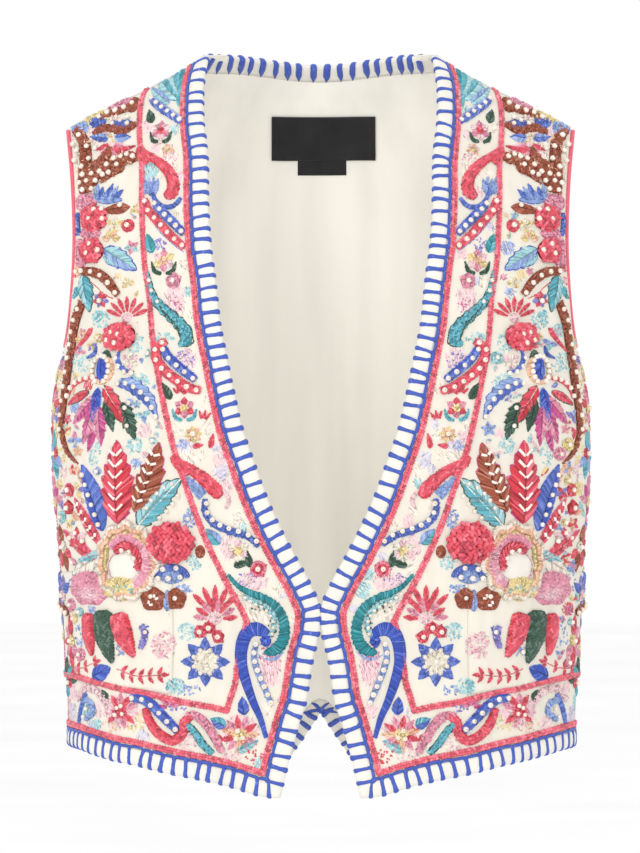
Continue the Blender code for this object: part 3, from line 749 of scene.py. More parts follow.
def back_lining():
    """Lining inside the back, with long soft folds."""
    columns = back_columns(44)
    shares = np.concatenate([[0.012], fine_shares()[3:-2:2], [0.985]])
    flat = back_flat(shares, columns * 0.985)
    outer = place_back(flat, -LINING_DEPTH)
    inner = place_back(flat, -LINING_DEPTH - LINING_THICK)
    for face in (outer, inner):
        low = np.abs(face[..., 1]) < 1.0
        face[..., 1] = np.where(low, 1.0, face[..., 1])
    sheet_of("lining_cloth", (outer, inner), [LINING], "back_lining")


# Threads, cords and bars.
def cords(name, centres, across, up, half_width, half_thick, look):
    """Many cords in one mesh: centres are cords by rings by 3, each closed at both ends."""
    around = 6
    count, rings = centres.shape[:2]
    turn = np.arange(around) * 2 * math.pi / around
    ring = (centres[:, :, None, :]
            + across[:, :, None, :] * (half_width[..., None] * np.cos(turn))[..., None]
            + up[:, :, None, :] * (half_thick[..., None] * np.sin(turn))[..., None])
    points = ring.reshape(-1, 3)
    quad = grid_faces(rings, around, 0, True, True)
    quads = (quad[None, :, :] + (np.arange(count) * rings * around)[:, None, None]).reshape(-1, 4)
    caps = []
    for start, order in ((0, 1), ((rings - 1) * around, -1)):
        cap = (start + np.arange(around))[::order]
        caps.append(cap[None, :] + (np.arange(count) * rings * around)[:, None])
    caps = np.concatenate(caps)
    corners = np.concatenate([quads.ravel(), caps.ravel()])
    sizes = np.concatenate([np.full(len(quads), 4), np.full(len(caps), around)])
    return link_mesh(name, points, corners, sizes, [look], closed=True)


class Edge:
    """A cloth edge as a flat line with a smooth way into the cloth, measured along it in millimetres."""

    def __init__(self, line, lift, hand, soften=9):
        steps = lengths(line)
        self.length = steps[-1]
        self.spots = np.arange(0, self.length, 1.0)
        self.line = picked(line, steps, self.spots)
        way = np.gradient(self.line, axis=0)
        inward = unit(hand * np.stack([way[:, 1], -way[:, 0]], axis=1))
        padded = np.pad(inward, ((soften, soften), (0, 0)), mode="edge")
        window = np.ones(2 * soften + 1) / (2 * soften + 1)
        inward = np.stack([np.convolve(padded[:, k], window, mode="valid") for k in (0, 1)], axis=1)
        self.inward = unit(inward)
        self.lift = lift

    def flat(self, spot, distance):
        """Flat place at a distance along the edge and a distance in from it."""
        spot, distance = np.broadcast_arrays(np.asarray(spot, dtype=float), np.asarray(distance, dtype=float))
        inward = picked(self.inward, self.spots, spot)
        return picked(self.line, self.spots, spot) + inward * distance[..., None]

    def point(self, spot, distance, height):
        """Point in space beside the edge at a height above the cloth."""
        return self.lift(self.flat(spot, distance), height)


def front_edge(side):
    """Neck, front edge and hem of one front as one edge."""
    drops = np.concatenate([np.linspace(1, TIP_DROP, 200), np.linspace(TIP_DROP, CORNER_DROP, 62)[1:]])
    first = flat_line(edge_width(drops), drops, side)
    widths = np.linspace(CORNER_WIDTH, HEM_HALF, 80)[1:]
    last = flat_line(widths, curve(FRONT_HEM, widths), side)
    return Edge(np.concatenate([first, last]), lambda flat, height: place(flat, height, side), 1)


def back_neck_edge():
    """Neck edge of the back."""
    widths = np.linspace(-NECK_HALF, NECK_HALF, 80)
    line = flat_line(np.abs(widths), curve(BACK_NECK, np.abs(widths)), 1, math.pi)
    line[:, 0] *= np.sign(widths)
    return Edge(line, place_back, -1)


def back_hem_edge():
    """Hem edge of the back, with its notch."""
    widths = np.linspace(-HEM_HALF, HEM_HALF, 240)
    line = flat_line(np.abs(widths), np.interp(np.abs(widths), *zip(*BACK_HEM)), 1, math.pi)
    line[:, 0] *= np.sign(widths)
    return Edge(line, place_back, 1, 5)


# Profile of a bound edge, outside to inside: distance from the edge, lowest height, extra height of the puff.
FRONT_PROFILE = ((11.2, -0.1, 0.0), (10.4, 0.35, 0.5), (8.2, 0.55, 1.15), (5.4, 0.6, 1.35), (2.8, 0.55, 1.25),
                 (1.0, 0.35, 0.9), (-0.1, -0.1, 0.5), (-0.55, -0.9, 0.1), (-0.3, -1.7, -0.2),
                 (0.8, -2.0, -0.6), (4.0, -2.1, -0.9), (7.5, -2.0, -0.6), (9.6, -1.6, 0.0))
OUTSIDE_ROWS = 7
BACK_PROFILE = (*FRONT_PROFILE[:OUTSIDE_ROWS], (-0.7, -1.3, 0.1), (-0.4, -2.5, -0.1), (0.8, -2.95, -0.2),
                (4.0, -3.05, -0.1), (7.5, -3.0, 0.0), (10.0, -2.8, 0.0))


def bar_spots(edge, rng, spacing, first, last):
    """Uneven places of the bars along an edge."""
    spots = [first]
    while spots[-1] < edge.length - last:
        spots.append(spots[-1] + spacing(spots[-1]) * rng.uniform(0.88, 1.13))
    return np.array(spots[:-1])


def bound_edge(name, edge, bars, profile, node):
    """Strip of cloth folded round an edge and puffed up between its bars."""
    spots = np.arange(0.3, edge.length - 0.3, 1.3)
    ends = np.concatenate([[bars[0] - 8], bars, [bars[-1] + 8]])
    k = np.clip(np.searchsorted(ends, spots) - 1, 0, len(ends) - 2)
    share = (spots - ends[k]) / (ends[k + 1] - ends[k])
    puff = np.abs(np.sin(np.pi * share)) ** 0.55
    rows = np.array(profile)
    height = rows[:, 1][None, :] + rows[:, 2][None, :] * puff[:, None]
    spot = np.repeat(spots[:, None], len(rows), axis=1)
    inward = np.repeat(rows[None, :, 0], len(spots), axis=0)
    run, rise = np.gradient(inward, axis=1), np.gradient(height, axis=1)
    thick = BINDING_THICK / np.hypot(run, rise)
    outer = edge.point(spot, inward, height)
    inner = edge.point(spot, inward - rise * thick, height + run * thick)
    piece = wall(name, outer, inner, [BAND_IVORY])
    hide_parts(node)


def frame_of(points, beside):
    """Unit vectors across and up at each ring of cords, from their centres and a point beside each."""
    along = unit(np.gradient(points, axis=1))
    across = beside - points
    across = unit(across - along * np.sum(across * along, axis=-1, keepdims=True))
    return across, np.cross(across, along)


def edge_bars(name, edge, bars, profile, rng, inside, look, bar_size, fan):
    """Thick thread bars that wrap round a bound edge, slightly slanted, with a fan of them at its middle."""
    bars = np.concatenate([bars, np.full(fan, edge.length / 2)])
    rows = np.array(profile)
    wrap = rows[OUTSIDE_ROWS:]
    path = np.concatenate([rows[:OUTSIDE_ROWS], wrap[wrap[:, 0] < inside]])
    fine = np.linspace(0, len(path) - 1, 17)
    stops = np.arange(len(path))
    distance = np.interp(fine, stops, path[:, 0])
    height = np.interp(fine, stops, path[:, 1] + 0.12 * path[:, 2])
    turned = np.interp(fine, stops, np.sign(path[:, 1] + 0.8))
    lift = height + 0.45 * turned
    count = len(bars)
    slant = rng.uniform(-0.13, 0.13, count)[:, None]
    if fan:
        slant[-fan:, 0] = np.linspace(-0.75, 0.75, fan)
    spot = bars[:, None] + slant * distance[None, :] + rng.uniform(-0.25, 0.25, (count, len(fine))) * 0.6
    distances = np.repeat(distance[None, :], count, axis=0)
    heights = np.repeat(lift[None, :], count, axis=0)
    centres = edge.point(spot, distances, heights)
    beside = edge.point(spot + 0.6, distances, heights)
    across, up = frame_of(centres, beside)
    taper = bar_size * np.interp(np.arange(len(fine)), (0, 2, 9, len(fine)), (1.15, 0.84, 1.1, 1.1))
    taper[-2:] = (0.7, 0.15)
    size = rng.uniform(0.9, 1.2, count)[:, None] * taper[None, :]
    if fan:
        size[-fan:] *= np.linspace(0.3, 0.8, len(fine))
    return cords(name, centres, across, up, 1.6 * size, 0.85 * size, look)


def edge_line(name, edge, bars, distance, rng, look):
    """Line of thread along the inner side of the bars, dipping a little between them."""
    ends = np.concatenate([[max(bars[0] - 6, 0.5)], bars, [min(bars[-1] + 5, edge.length - 0.5)]])
    count = len(ends) - 1
    share = np.linspace(0, 1, 9)
    spot = ends[:-1, None] - 0.8 + (np.diff(ends)[:, None] + 1.6) * share[None, :]
    wobble = rng.uniform(-0.35, 0.35, count)[:, None]
    sag = rng.uniform(0.3, 1.0, count)[:, None]
    inset = distance + wobble + sag * (4 * share * (1 - share))[None, :] * 0.8
    height = 0.55 + 0.25 * np.sin(np.pi * share)[None, :] + np.zeros((count, 1))
    centres = edge.point(spot, inset, height)
    beside = edge.point(spot, inset + 0.6, height)
    across, up = frame_of(centres, beside)
    taper = 0.55 + 0.45 * np.sin(np.pi * share) ** 0.5
    size = rng.uniform(0.9, 1.12, count)[:, None] * taper[None, :]
    return cords(name, centres, across, up, 1.15 * size, 0.75 * size, look)


def blanket_stitch(name, edge, profile, spacing, node, seed, inside, bar_size=1.0, fan=0):
    """A bound edge with its bars and inner line of blue thread."""
    rng = np.random.default_rng(seed)
    bars = bar_spots(edge, rng, spacing, 3.5, 4.5)
    if profile is FRONT_PROFILE:
        corner = edge.spots[np.argmax(edge.line[:, 1])]
        bars = bars[np.abs(bars - corner) > CORNER_ROOM]
    bound_edge(name + "_binding", edge, bars, profile, node)
    crossing = edge_bars(name + "_bars", edge, bars, profile, rng, inside, EDGE_CORD, bar_size, fan)
    line = edge_line(name + "_stitch_line", edge, bars, 11.6, rng, EDGE_CORD)


def line_meet(first, second):
    """Where two plane lines of points cross: place on each and the point."""
    for i in range(len(first) - 1):
        for k in range(len(second) - 1):
            a, b = first[i], first[i + 1]
            c, d = second[k], second[k + 1]
            ab = b - a
            cd = d - c
            cross = ab[0] * cd[1] - ab[1] * cd[0]
            if abs(cross) < 1e-9:
                continue
            t = ((c[0] - a[0]) * cd[1] - (c[1] - a[1]) * cd[0]) / cross
            s = ((c[0] - a[0]) * ab[1] - (c[1] - a[1]) * ab[0]) / cross
            if 0 <= t <= 1 and 0 <= s <= 1:
                return i, k, a + ab * t
    return None


def shifted(line, distance):
    """Plane line moved inwards from the edge by a distance."""
    return line + distance * ways(line)[1]


def inside_line(side, distance):
    """Line at a distance inside a front's neck, front edge and hem, with sharp corners."""
    drops = np.linspace(1, TIP_DROP, 60)
    neck = flat_line(edge_width(drops), drops, side)
    drops = np.linspace(TIP_DROP, CORNER_DROP, 24)
    lower = flat_line(edge_width(drops), drops, side)
    widths = np.linspace(CORNER_WIDTH, 179, 40)
    hem = flat_line(widths, curve(FRONT_HEM, widths), side)
    legs = []
    for leg in (neck, lower, hem):
        leg = shifted(leg, distance)
        first = leg[0] - (leg[1] - leg[0]) * 40
        last = leg[-1] + (leg[-1] - leg[-2]) * 40
        legs.append(np.concatenate([[first], leg, [last]]))
    neck, lower, hem = legs
    i, k, tip = line_meet(neck, lower)
    neck = np.concatenate([neck[1:i + 1], [tip]])
    lower = np.concatenate([[tip], lower[k + 1:]])
    i, k, corner = line_meet(lower, hem)
    lower = np.concatenate([lower[:i + 1], [corner]])
    hem = np.concatenate([[corner], hem[k + 1:-1]])
    return neck, lower, hem


def even(line, step):
    """Flat line with points at an even step."""
    steps = lengths(line)
    return picked(line, steps, np.linspace(0, steps[-1], max(int(round(steps[-1] / step)), 2) + 1))


def smooth(line, step):
    """Smooth flat line through a few places, with points at an even step."""
    if len(line) > 2:
        share = np.linspace(0, 1, len(line))
        fine = np.linspace(0, 1, 24 * len(line))
        line = np.stack([curve(np.stack([share, line[:, k]], axis=1), fine) for k in (0, 1)], axis=1)
    return even(line, step)


def ways(line):
    """Unit vectors along and across a flat line."""
    way = unit(np.gradient(line, axis=0))
    return way, np.stack([way[:, 1], -way[:, 0]], axis=1)


# Profiles of a stitch: across its width and up its thickness.
THIN = ((-1.0, 0.0), (0.0, 1.0), (1.0, 0.0))
ROUND = ((-1.0, 0.0), (-0.5, 0.9), (0.5, 0.9), (1.0, 0.0))


class Needlework:
    """The stitches, pads and beads of one front, collected in its flat girth and drop."""

    def __init__(self, side, word):
        self.side = side
        self.word = word
        self.rng = np.random.default_rng(40 + side)
        self.stitches = {}
        self.pads = {}
        self.pearls = []
        self.pocket = None
        self.limit = limit_line(side)

    def ground(self, flat):
        """Height of what the stitches lie on: the cloth or the pocket."""
        if self.pocket is None:
            return np.zeros(flat.shape[:-1])
        left, top, bottom = self.pocket
        x = flat[..., 0]
        y = flat[..., 1]
        above = np.interp(x, top[:, 0], top[:, 1])
        below = np.interp(x, bottom[:, 0], bottom[:, 1])
        start = np.interp(y, left[:, 1], left[:, 0])
        room = np.minimum(np.minimum(x - start, y - above), below - y)
        return POCKET_LIFT * np.clip(room / 1.2 + 0.5, 0, 1)

    def inside(self, flat, room):
        """Which flat places lie on the front, clear of its shoulder, armhole and side seam."""
        drops, girths = self.limit
        depth = place(flat, 0, self.side)[..., 1]
        return (flat[..., 0] < np.interp(flat[..., 1], drops, girths) - room) & (depth < -0.6)

    def stitch(self, colour, start, end, width=0.95, thick=0.55, low=0.0, far=None, crown=0.0, kind="thin"):
        """Add stitches from start to end places; low and far are heights at the ends, crown between them."""
        start = np.atleast_2d(start)
        end = np.atleast_2d(end)
        count = len(start)
        far = low if far is None else far
        jitter = 0.14
        start = start + self.rng.normal(0, jitter, start.shape)
        end = end + self.rng.normal(0, jitter, end.shape)
        measures = (width, thick, low, far, crown)
        columns = [np.broadcast_to(np.asarray(measure, dtype=float), (count,)) for measure in measures]
        size = self.rng.uniform(0.88, 1.14, (count, 1))
        rows = np.concatenate([start, end, np.stack(columns, axis=1)], axis=1)
        rows[:, 4:6] *= size
        self.stitches.setdefault((colour, kind), []).append(rows)

    def pad(self, colour, points, height, rows, columns):
        """Add a domed base under stitches, from a grid of flat places and its heights."""
        grid = (points.reshape(rows, columns, 2), height.reshape(rows, columns))
        self.pads.setdefault(colour, []).append(grid)

    def pearl(self, places, radius=2.3, low=0.0):
        """Add pearls at flat places."""
        places = np.atleast_2d(places)
        radius = radius * 0.88
        low = np.broadcast_to(np.asarray(low, dtype=float), (len(places),))
        sizes = radius * self.rng.uniform(0.92, 1.07, len(places))
        self.pearls.append(np.concatenate([places, low[:, None], sizes[:, None]], axis=1))

    def emit_stitches(self):
        """Make one mesh for each colour and kind of stitch."""
        for (colour, kind), lists in self.stitches.items():
            rows = np.concatenate(lists)
            rows = rows[self.inside(rows[:, 0:2], 1.0) & self.inside(rows[:, 2:4], 1.0)]
            profile = THIN if kind == "thin" else ROUND
            shares = {"thin": (0.2, 0.8), "round": (0.12, 0.5, 0.88), "tube": (0.03, 0.97)}[kind]
            ends = {"thin": 0.0, "round": 0.0, "tube": 0.55}[kind]
            points, faces = stitch_points(rows, profile, shares, ends, self)
            look = BUGLE if colour == "bugle" else THREADS[colour]
            name = f"{colour}_{kind}_stitches_{self.word}"
            piece = link_mesh(name, points, faces.ravel(), np.full(len(faces), 3), [look])
            tone = piece.data.attributes.new("tone", "FLOAT", "POINT")
            tone.data.foreach_set("value",
                                  np.repeat(self.rng.uniform(0, 1, len(rows)), len(points) // len(rows)))

    def emit_pads(self):
        """Make one mesh of all the domed bases, with a material for each colour."""
        looks = []
        points = []
        corners = []
        index = []
        first = 0
        for colour, grids in self.pads.items():
            # Pads under the stitches take the thread colour darkened as painted shade; bare pads stay ivory.
            looks.append(BAND_IVORY if colour == "bare" else PAINTED_SHADE_PADDINGS[colour])
            for flat, height in grids:
                rows, columns = height.shape
                keep = self.inside(flat, 0.6)
                points.append(place(flat, height + self.ground(flat), self.side).reshape(-1, 3))
                quads = grid_faces(rows, columns)
                quads = quads[keep.ravel()[quads].all(axis=1)]
                if len(quads):
                    quads = turned_out(points[-1], quads, place(flat, height + 3, self.side).reshape(-1, 3))
                corners.append(quads + first)
                index.append(np.full(len(quads), len(looks) - 1))
                first += rows * columns
        corners = np.concatenate(corners)
        piece = link_mesh("padding_" + self.word, np.concatenate(points), corners.ravel(),
                          np.full(len(corners), 4), looks, np.concatenate(index))
        raised = ("flower", "bloom", "coral_leaf", "rust_leaf", "turquoise_leaf", "blue_leaf", "pink_leaf",
                  "rosette", "berries", "pocket_tuft", "teal_paisley", "blue_paisley")
        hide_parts(*[node + "_" + self.word for node in raised])

    def emit_pearls(self):
        """Make one mesh of all the pearls."""
        rows = np.concatenate(self.pearls)
        rows = rows[self.inside(rows[:, :2], 2.2)]
        lift = self.ground(rows[:, :2]) + rows[:, 2]
        centre = place(rows[:, :2], lift + rows[:, 3] * 0.62, self.side)
        top = place(rows[:, :2], lift + rows[:, 3] * 0.62 + 1, self.side)
        up = unit(top - centre)
        first = unit(np.cross(up, (0.0, 0.0, 1.0)))
        second = np.cross(up, first)
        around = 10
        turn = np.arange(around) * 2 * math.pi / around
        belts = np.radians((-38, -5, 28, 58, 82))
        ball = []
        for belt in belts:
            ring = (first[:, None, :] * np.cos(turn)[None, :, None]
                    + second[:, None, :] * np.sin(turn)[None, :, None]) * math.cos(belt)
            ball.append(ring + up[:, None, :] * math.sin(belt))
        ball = np.stack(ball, axis=1) * rows[:, 3][:, None, None, None] + centre[:, None, None, :]
        count = len(rows)
        quad = grid_faces(len(belts), around, 0, True, True)
        step = len(belts) * around
        quads = (quad[None] + (np.arange(count) * step)[:, None, None]).reshape(-1, 4)
        cap = ((len(belts) - 1) * around + np.arange(around))[None, :] + (np.arange(count) * step)[:, None]
        corners = np.concatenate([quads.ravel(), cap.ravel()])
        sizes = np.concatenate([np.full(len(quads), 4), np.full(count, around)])
        piece = link_mesh("pearls_" + self.word, ball.reshape(-1, 3), corners, sizes, [PEARL])


def turned_out(points, faces, above):
    """Faces wound so that together they look towards the points above them."""
    a, b, c = (points[faces[:, k]] for k in (0, 1, 2))
    normal = np.cross(b - a, c - a)
    way = above[faces[:, 0]] - a
    return faces if np.sum(normal * way) > 0 else faces[:, ::-1]


def stitch_points(rows, profile, shares, ends, work):
    """Points and three-cornered faces of many stitches."""
    start = rows[:, 0:2]
    end = rows[:, 2:4]
    width, thick, low, far, crown = rows[:, 4:9].T
    way = end - start
    length = np.maximum(np.linalg.norm(way, axis=1), 0.01)
    unit = way / length[:, None]
    across = np.stack([-unit[:, 1], unit[:, 0]], axis=1)
    count = len(rows)
    rings = len(shares)
    slots = len(profile)
    flats = []
    heights = []
    for share in shares:
        middle = start + way * share
        ridge = low * (1 - share) + far * share + crown * 4 * share * (1 - share)
        for x, y in profile:
            flats.append(middle + across * (x * width / 2)[:, None])
            heights.append(ridge + y * thick - 0.06)
    for share, level in ((0.0, low), (1.0, far)):
        flats.append(start + way * share)
        heights.append(level + ends * thick)
    flat = np.stack(flats, axis=1)
    height = np.stack(heights, axis=1)
    height = height + work.ground((start + end) / 2)[:, None]
    points = place(flat, height, work.side).reshape(-1, 3)
    step = rings * slots + 2
    faces = []
    for ring in range(rings - 1):
        for slot in range(slots - 1):
            a = ring * slots + slot
            b = a + 1
            c = a + slots
            faces.append((a, b, c + 1))
            faces.append((a, c + 1, c))
    first_tip = rings * slots
    last = (rings - 1) * slots
    for slot in range(slots - 1):
        faces.append((first_tip, slot + 1, slot))
        faces.append((first_tip + 1, last + slot, last + slot + 1))
    faces = turned_out(points[:step], np.array(faces),
                       place(flat[:1], height[:1] + 1, work.side).reshape(-1, 3))
    every = (faces[None] + (np.arange(count) * step)[:, None, None]).reshape(-1, 3)
    return points, every


# Ways of filling a shape with stitches.
def dome(share):
    """Height share of a padded shape, 1 in the middle and 0 at its edge."""
    return np.clip(1 - np.abs(share) ** 2.2, 0, 1) ** 0.6


def width_shape(kind, share):
    """Width share along a ribbon of a kind."""
    if kind == "leaf":
        return np.sin(np.pi * np.clip(share, 0.0, 1.0) ** 0.8) ** 0.75
    if kind == "drop":
        return np.sin(np.pi * np.clip(share, 0, 1) ** 1.6) ** 0.7
    if kind == "tuft":
        return np.clip(share * 9 + 0.3, 0, 1) ** 0.5 * np.clip((1.02 - share) * 1.9, 0, 1) ** 0.6
    if kind == "paisley":
        return np.clip(share * 7 + 0.12, 0, 1) ** 0.5 * (1 - 0.72 * np.clip(share, 0, 1) ** 1.4)
    if kind == "horn":
        return np.clip(1 - share, 0, 1) ** 0.55 * np.clip(share * 9, 0.25, 1)
    if kind == "crescent":
        return np.sin(np.pi * share) ** 0.9
    return 0.55 + 0.45 * np.sin(np.pi * np.clip(share, 0.03, 0.97)) ** 0.4


def ribbon(work, line, half, kind, colour, height=1.0, weave="slant", gap=1.2, size=1.25, second=None,
           teeth=0):
    """Padded shape filled with stitches along a flat line; teeth make its sides jagged."""
    line = smooth(line, 0.8)
    share = np.linspace(0, 1, len(line))
    reach = half * width_shape(kind, share)
    if teeth:
        reach = reach * (0.78 + 0.46 * np.mod(share * teeth, 1.0))
    rise = height * np.clip(reach / max(half, 0.01), 0, 1) ** 0.7
    _, across = ways(line)
    across = widened(line, across, work.side)
    few = even_index(len(line), 2 if teeth else 3)
    lanes = np.array((-0.94, -0.8, -0.4, 0, 0.4, 0.8, 0.94))
    flat = line[few][:, None, :] + across[few][:, None, :] * (reach[few, None] * lanes[None, :])[..., None]
    work.pad(colour, flat, rise[few, None] * dome(lanes)[None, :] * 0.86 - 0.12, len(few), len(lanes))
    spots = np.arange(0.5, len(line) * 0.8 - 0.6, max(gap, size * 0.95)) / 0.8
    other = second or colour

    def at(place_along, lane):
        """Flat place and height on the ribbon."""
        k = np.clip(place_along, 0, len(line) - 1.001)
        i = k.astype(int)
        t = (k - i)[:, None]
        base = line[i] * (1 - t) + line[i + 1] * t
        side_way = across[i] * (1 - t) + across[i + 1] * t
        wide = np.interp(k, np.arange(len(line)), reach)
        tall = np.interp(k, np.arange(len(line)), rise)
        return base + side_way * (wide * lane)[:, None], tall * dome(lane)

    if weave == "cross":
        begin, low = at(spots, np.full(len(spots), -1.0))
        finish, far = at(spots + 0.2 + half * 0.55, np.full(len(spots), 1.0))
        top = np.interp(spots, np.arange(len(line)), rise)
        work.stitch(colour, begin, finish, size, size * 0.7, low, far, top * 1.15, "round")
    elif weave == "slant":
        for lane, tint in ((-1.0, colour), (1.0, other)):
            begin, low = at(spots, np.full(len(spots), lane * 0.03))
            middle, ridge = at(spots + half * 0.6, np.full(len(spots), lane * 0.55))
            finish, far = at(spots + half * 1.2, np.full(len(spots), lane * 1.06))
            work.stitch(tint, begin, finish, size, size * 0.7, low, far, ridge - (low + far) / 2,
                        "round" if size > 1.5 else "thin")
    elif weave == "chain":
        lanes = max(int(round(2 * half / (size * 1.25))), 2)
        for number in range(lanes):
            lane = -1 + (2 * number + 1) / lanes
            tint = other if second and number == 0 else colour
            step = np.arange(0.3 + 0.7 * (number % 2), len(line) * 0.8 - 0.6, size * 1.55) / 0.8
            lean = 0.22 if number % 2 else -0.22
            begin, low = at(step, np.full(len(step), lane - lean))
            finish, far = at(step + size * 2.4 / 0.8, np.full(len(step), lane + lean))
            work.stitch(tint, begin, finish, size * 1.35, size * 0.85, low, far, 0.12, "round")
    else:
        count = int(len(line) * 0.8 * 2 * np.mean(reach) / (size * 1.15))
        spot = work.rng.uniform(0, len(line) - 1, count)
        lane = work.rng.uniform(-0.85, 0.85, count)
        middle, low = at(spot, lane)
        angle = work.rng.uniform(0, np.pi, count)
        arm = pointing(angle) * size * 0.95
        work.stitch(colour, middle - arm, middle + arm, size * 1.05, size * 0.75, low, low, 0.1)
    return line, across, reach


def even_index(count, step):
    """Every few numbers below a count, with both ends."""
    return np.unique(np.concatenate([np.arange(0, count, step), [count - 1]]))


def outline(work, line, colour, size=1.0, height=0.1, step=2.2):
    """Line of small stitches end to end."""
    line = even(smooth(line, 0.8), step)
    way, _ = ways(line)
    work.stitch(colour, line[:-1] - way[:-1] * 0.2, line[1:] + way[1:] * 0.2, size, size * 0.55, height)


def rim(work, ribbon_shape, colour, size=1.1, height=0.15):
    """Outline of a ribbon on both its sides."""
    line, across, reach = ribbon_shape
    for lane in (-1, 1):
        outline(work, line + across * (reach * lane)[:, None], colour, size, height)


def disc_points(centre, radii, turns, shares, lobes, depth):
    """Flat places round a centre at shares of a lobed radius."""
    edge = 1 + depth * np.cos(lobes * turns)
    x = centre[0] + radii[0] * shares * edge * np.sin(turns)
    y = centre[1] - radii[1] * shares * edge * np.cos(turns)
    return np.stack([x, y], axis=-1)


def oval(work, centre, radii):
    """Centre and widened radii of a round shape, as arrays."""
    centre = np.asarray(centre, dtype=float)
    return centre, widened(centre, np.asarray(radii, dtype=float), work.side)


def disc(work, centre, radii, colour, height=1.2, weave="radial", inner=0.0, outer=1.0, lobes=0, depth=0.0,
         size=1.25, span=(0.0, 360.0), base=0.0, padded=True):
    """Padded round shape, or a ring or part of one, filled with stitches."""
    centre, radii = oval(work, centre, radii)
    first, last = np.radians(span)
    mean = float(np.mean(radii))

    def level(share):
        """Height on the shape at a share of its radius."""
        if inner == 0:
            return base + height * dome(np.clip(share / max(outer, 1e-6) * 0.999, 0, 1))
        return base + height * dome(2 * (share - (inner + outer) / 2) / (outer - inner))

    if padded:
        turns = np.linspace(first, last, 33)
        rings = np.linspace(inner, outer, 6)
        flat = disc_points(centre, radii, turns[None, :], rings[:, None], lobes, depth)
        flat = np.broadcast_to(flat, (6, 33, 2))
        tall = np.broadcast_to(level(rings)[:, None], (6, 33))
        work.pad(colour, flat, tall * 0.88 - 0.1, 6, 33)
    if weave == "radial":
        depth_step = max(size * 2.2, 1.6)
        share = inner + 0.02
        while share < outer - 0.02:
            far = min(share + depth_step / mean * 1.15, outer)
            count = max(int((last - first) * mean * max((share + far) / 2, 0.12) / (size * 1.02)), 3)
            turns = first + (np.arange(count) + work.rng.uniform(0, 1)) / count * (last - first)
            begin = disc_points(centre, radii, turns, share, lobes, depth)
            finish = disc_points(centre, radii, turns, far, lobes, depth)
            low = level(np.full(count, share))
            high = level(np.full(count, far))
            ridge = level(np.full(count, (share + far) / 2))
            work.stitch(colour, begin, finish, size * 1.05, size * 0.7, low, high,
                        ridge - (low + high) / 2 + 0.05)
            share += depth_step / mean * 0.85
    elif weave == "knots":
        area = np.pi * radii[0] * radii[1] * (outer ** 2 - inner ** 2) * (last - first) / (2 * np.pi)
        count = int(area / (size * size * 1.5))
        share = np.sqrt(work.rng.uniform(inner ** 2, outer ** 2, count)) * 0.97
        turns = work.rng.uniform(first, last, count)
        middle = disc_points(centre, radii, turns, share, lobes, depth)
        angle = work.rng.uniform(0, np.pi, count)
        arm = pointing(angle) * size * 1.05
        work.stitch(colour, middle - arm, middle + arm, size * 1.1, size * 0.62, level(share), level(share),
                    0.15, "round" if size > 1.3 else "thin")
    elif weave == "rings":
        share = inner + size / mean * 0.5
        while share < outer:
            count = max(int((last - first) * mean * share / (size * 2.3)), 3)
            turns = first + (np.arange(count) + 0.5 * work.rng.uniform()) / count * (last - first)
            reach = (last - first) / count * 0.52
            begin = disc_points(centre, radii, turns - reach, share - 0.04, lobes, depth)
            finish = disc_points(centre, radii, turns + reach, share + 0.04, lobes, depth)
            flat_level = level(np.full(count, share))
            work.stitch(colour, begin, finish, size * 1.1, size * 0.62, flat_level, flat_level, 0.12,
                        "round" if size > 1.3 else "thin")
            share += size / mean * 0.95


def scatter(work, centre, radii, colour, count, length=2.2, size=1.05, level=0.0):
    """Loose small stitches in an oval, at a height."""
    centre, radii = oval(work, centre, radii)
    share = np.sqrt(work.rng.uniform(0, 1, count))
    turns = work.rng.uniform(0, 2 * np.pi, count)
    middle = disc_points(centre, radii, turns, share, 0, 0)
    angle = work.rng.uniform(0, np.pi, count)
    arm = pointing(angle) * length / 2
    work.stitch(colour, middle - arm, middle + arm, size, size * 0.62, level, level, 0.2)


def petals(work, centre, count, near, far, half, colours, first=0.0, span=360.0, height=0.8, kind="leaf"):
    """Petals round a centre."""
    for number in range(count):
        angle = math.radians(first + span * number / (count if span >= 360 else max(count - 1, 1)))
        way = widened(centre, clock(angle), work.side)
        line = np.array([centre + way * near, centre + way * (near + far) / 2, centre + way * far])
        ribbon(work, line, half, kind, colours[number % len(colours)], height)


def pearls_along(work, line, gap, radius=2.3, low=0.0, inset=0.0):
    """Pearls at an even gap along a flat line."""
    line = even(smooth(line, 0.8), gap)
    _, across = ways(line)
    work.pearl(line + across * inset, radius, low)


def seeds(work, centre, radii, colour, height, size, lean=38.0):
    """Padded round shape covered with rows of large seed stitches that lean both ways in turn."""
    centre, radii = oval(work, centre, radii)
    rows = int(radii[1] / (size * 0.62))
    columns = int(radii[0] / (size * 0.62))
    for row in range(-rows, rows + 1):
        y = row * size * 0.62 * 1.5
        spots = (np.arange(-columns, columns + 1) + 0.5 * (row % 2)) * size * 1.28
        spots = spots[(spots / radii[0]) ** 2 + (y / radii[1]) ** 2 < 0.92]
        if not len(spots):
            continue
        share = np.sqrt((spots / radii[0]) ** 2 + (y / radii[1]) ** 2)
        turn = math.radians(lean if row % 2 else -lean) + work.rng.normal(0, 0.3, len(spots))
        reach = size * work.rng.uniform(0.75, 1.1, len(spots))
        arm = np.stack([np.sin(turn), np.cos(turn)], axis=1) * reach[:, None]
        middle = centre + np.stack([spots, np.full(len(spots), y)], axis=1)
        middle = middle + work.rng.normal(0, size * 0.13, middle.shape)
        level = height * dome(share) - 0.1 + work.rng.uniform(0, 0.3, len(spots))
        work.stitch(colour, middle - arm, middle + arm, size * 1.25, size * 0.95, level, level, 0.2, "round")


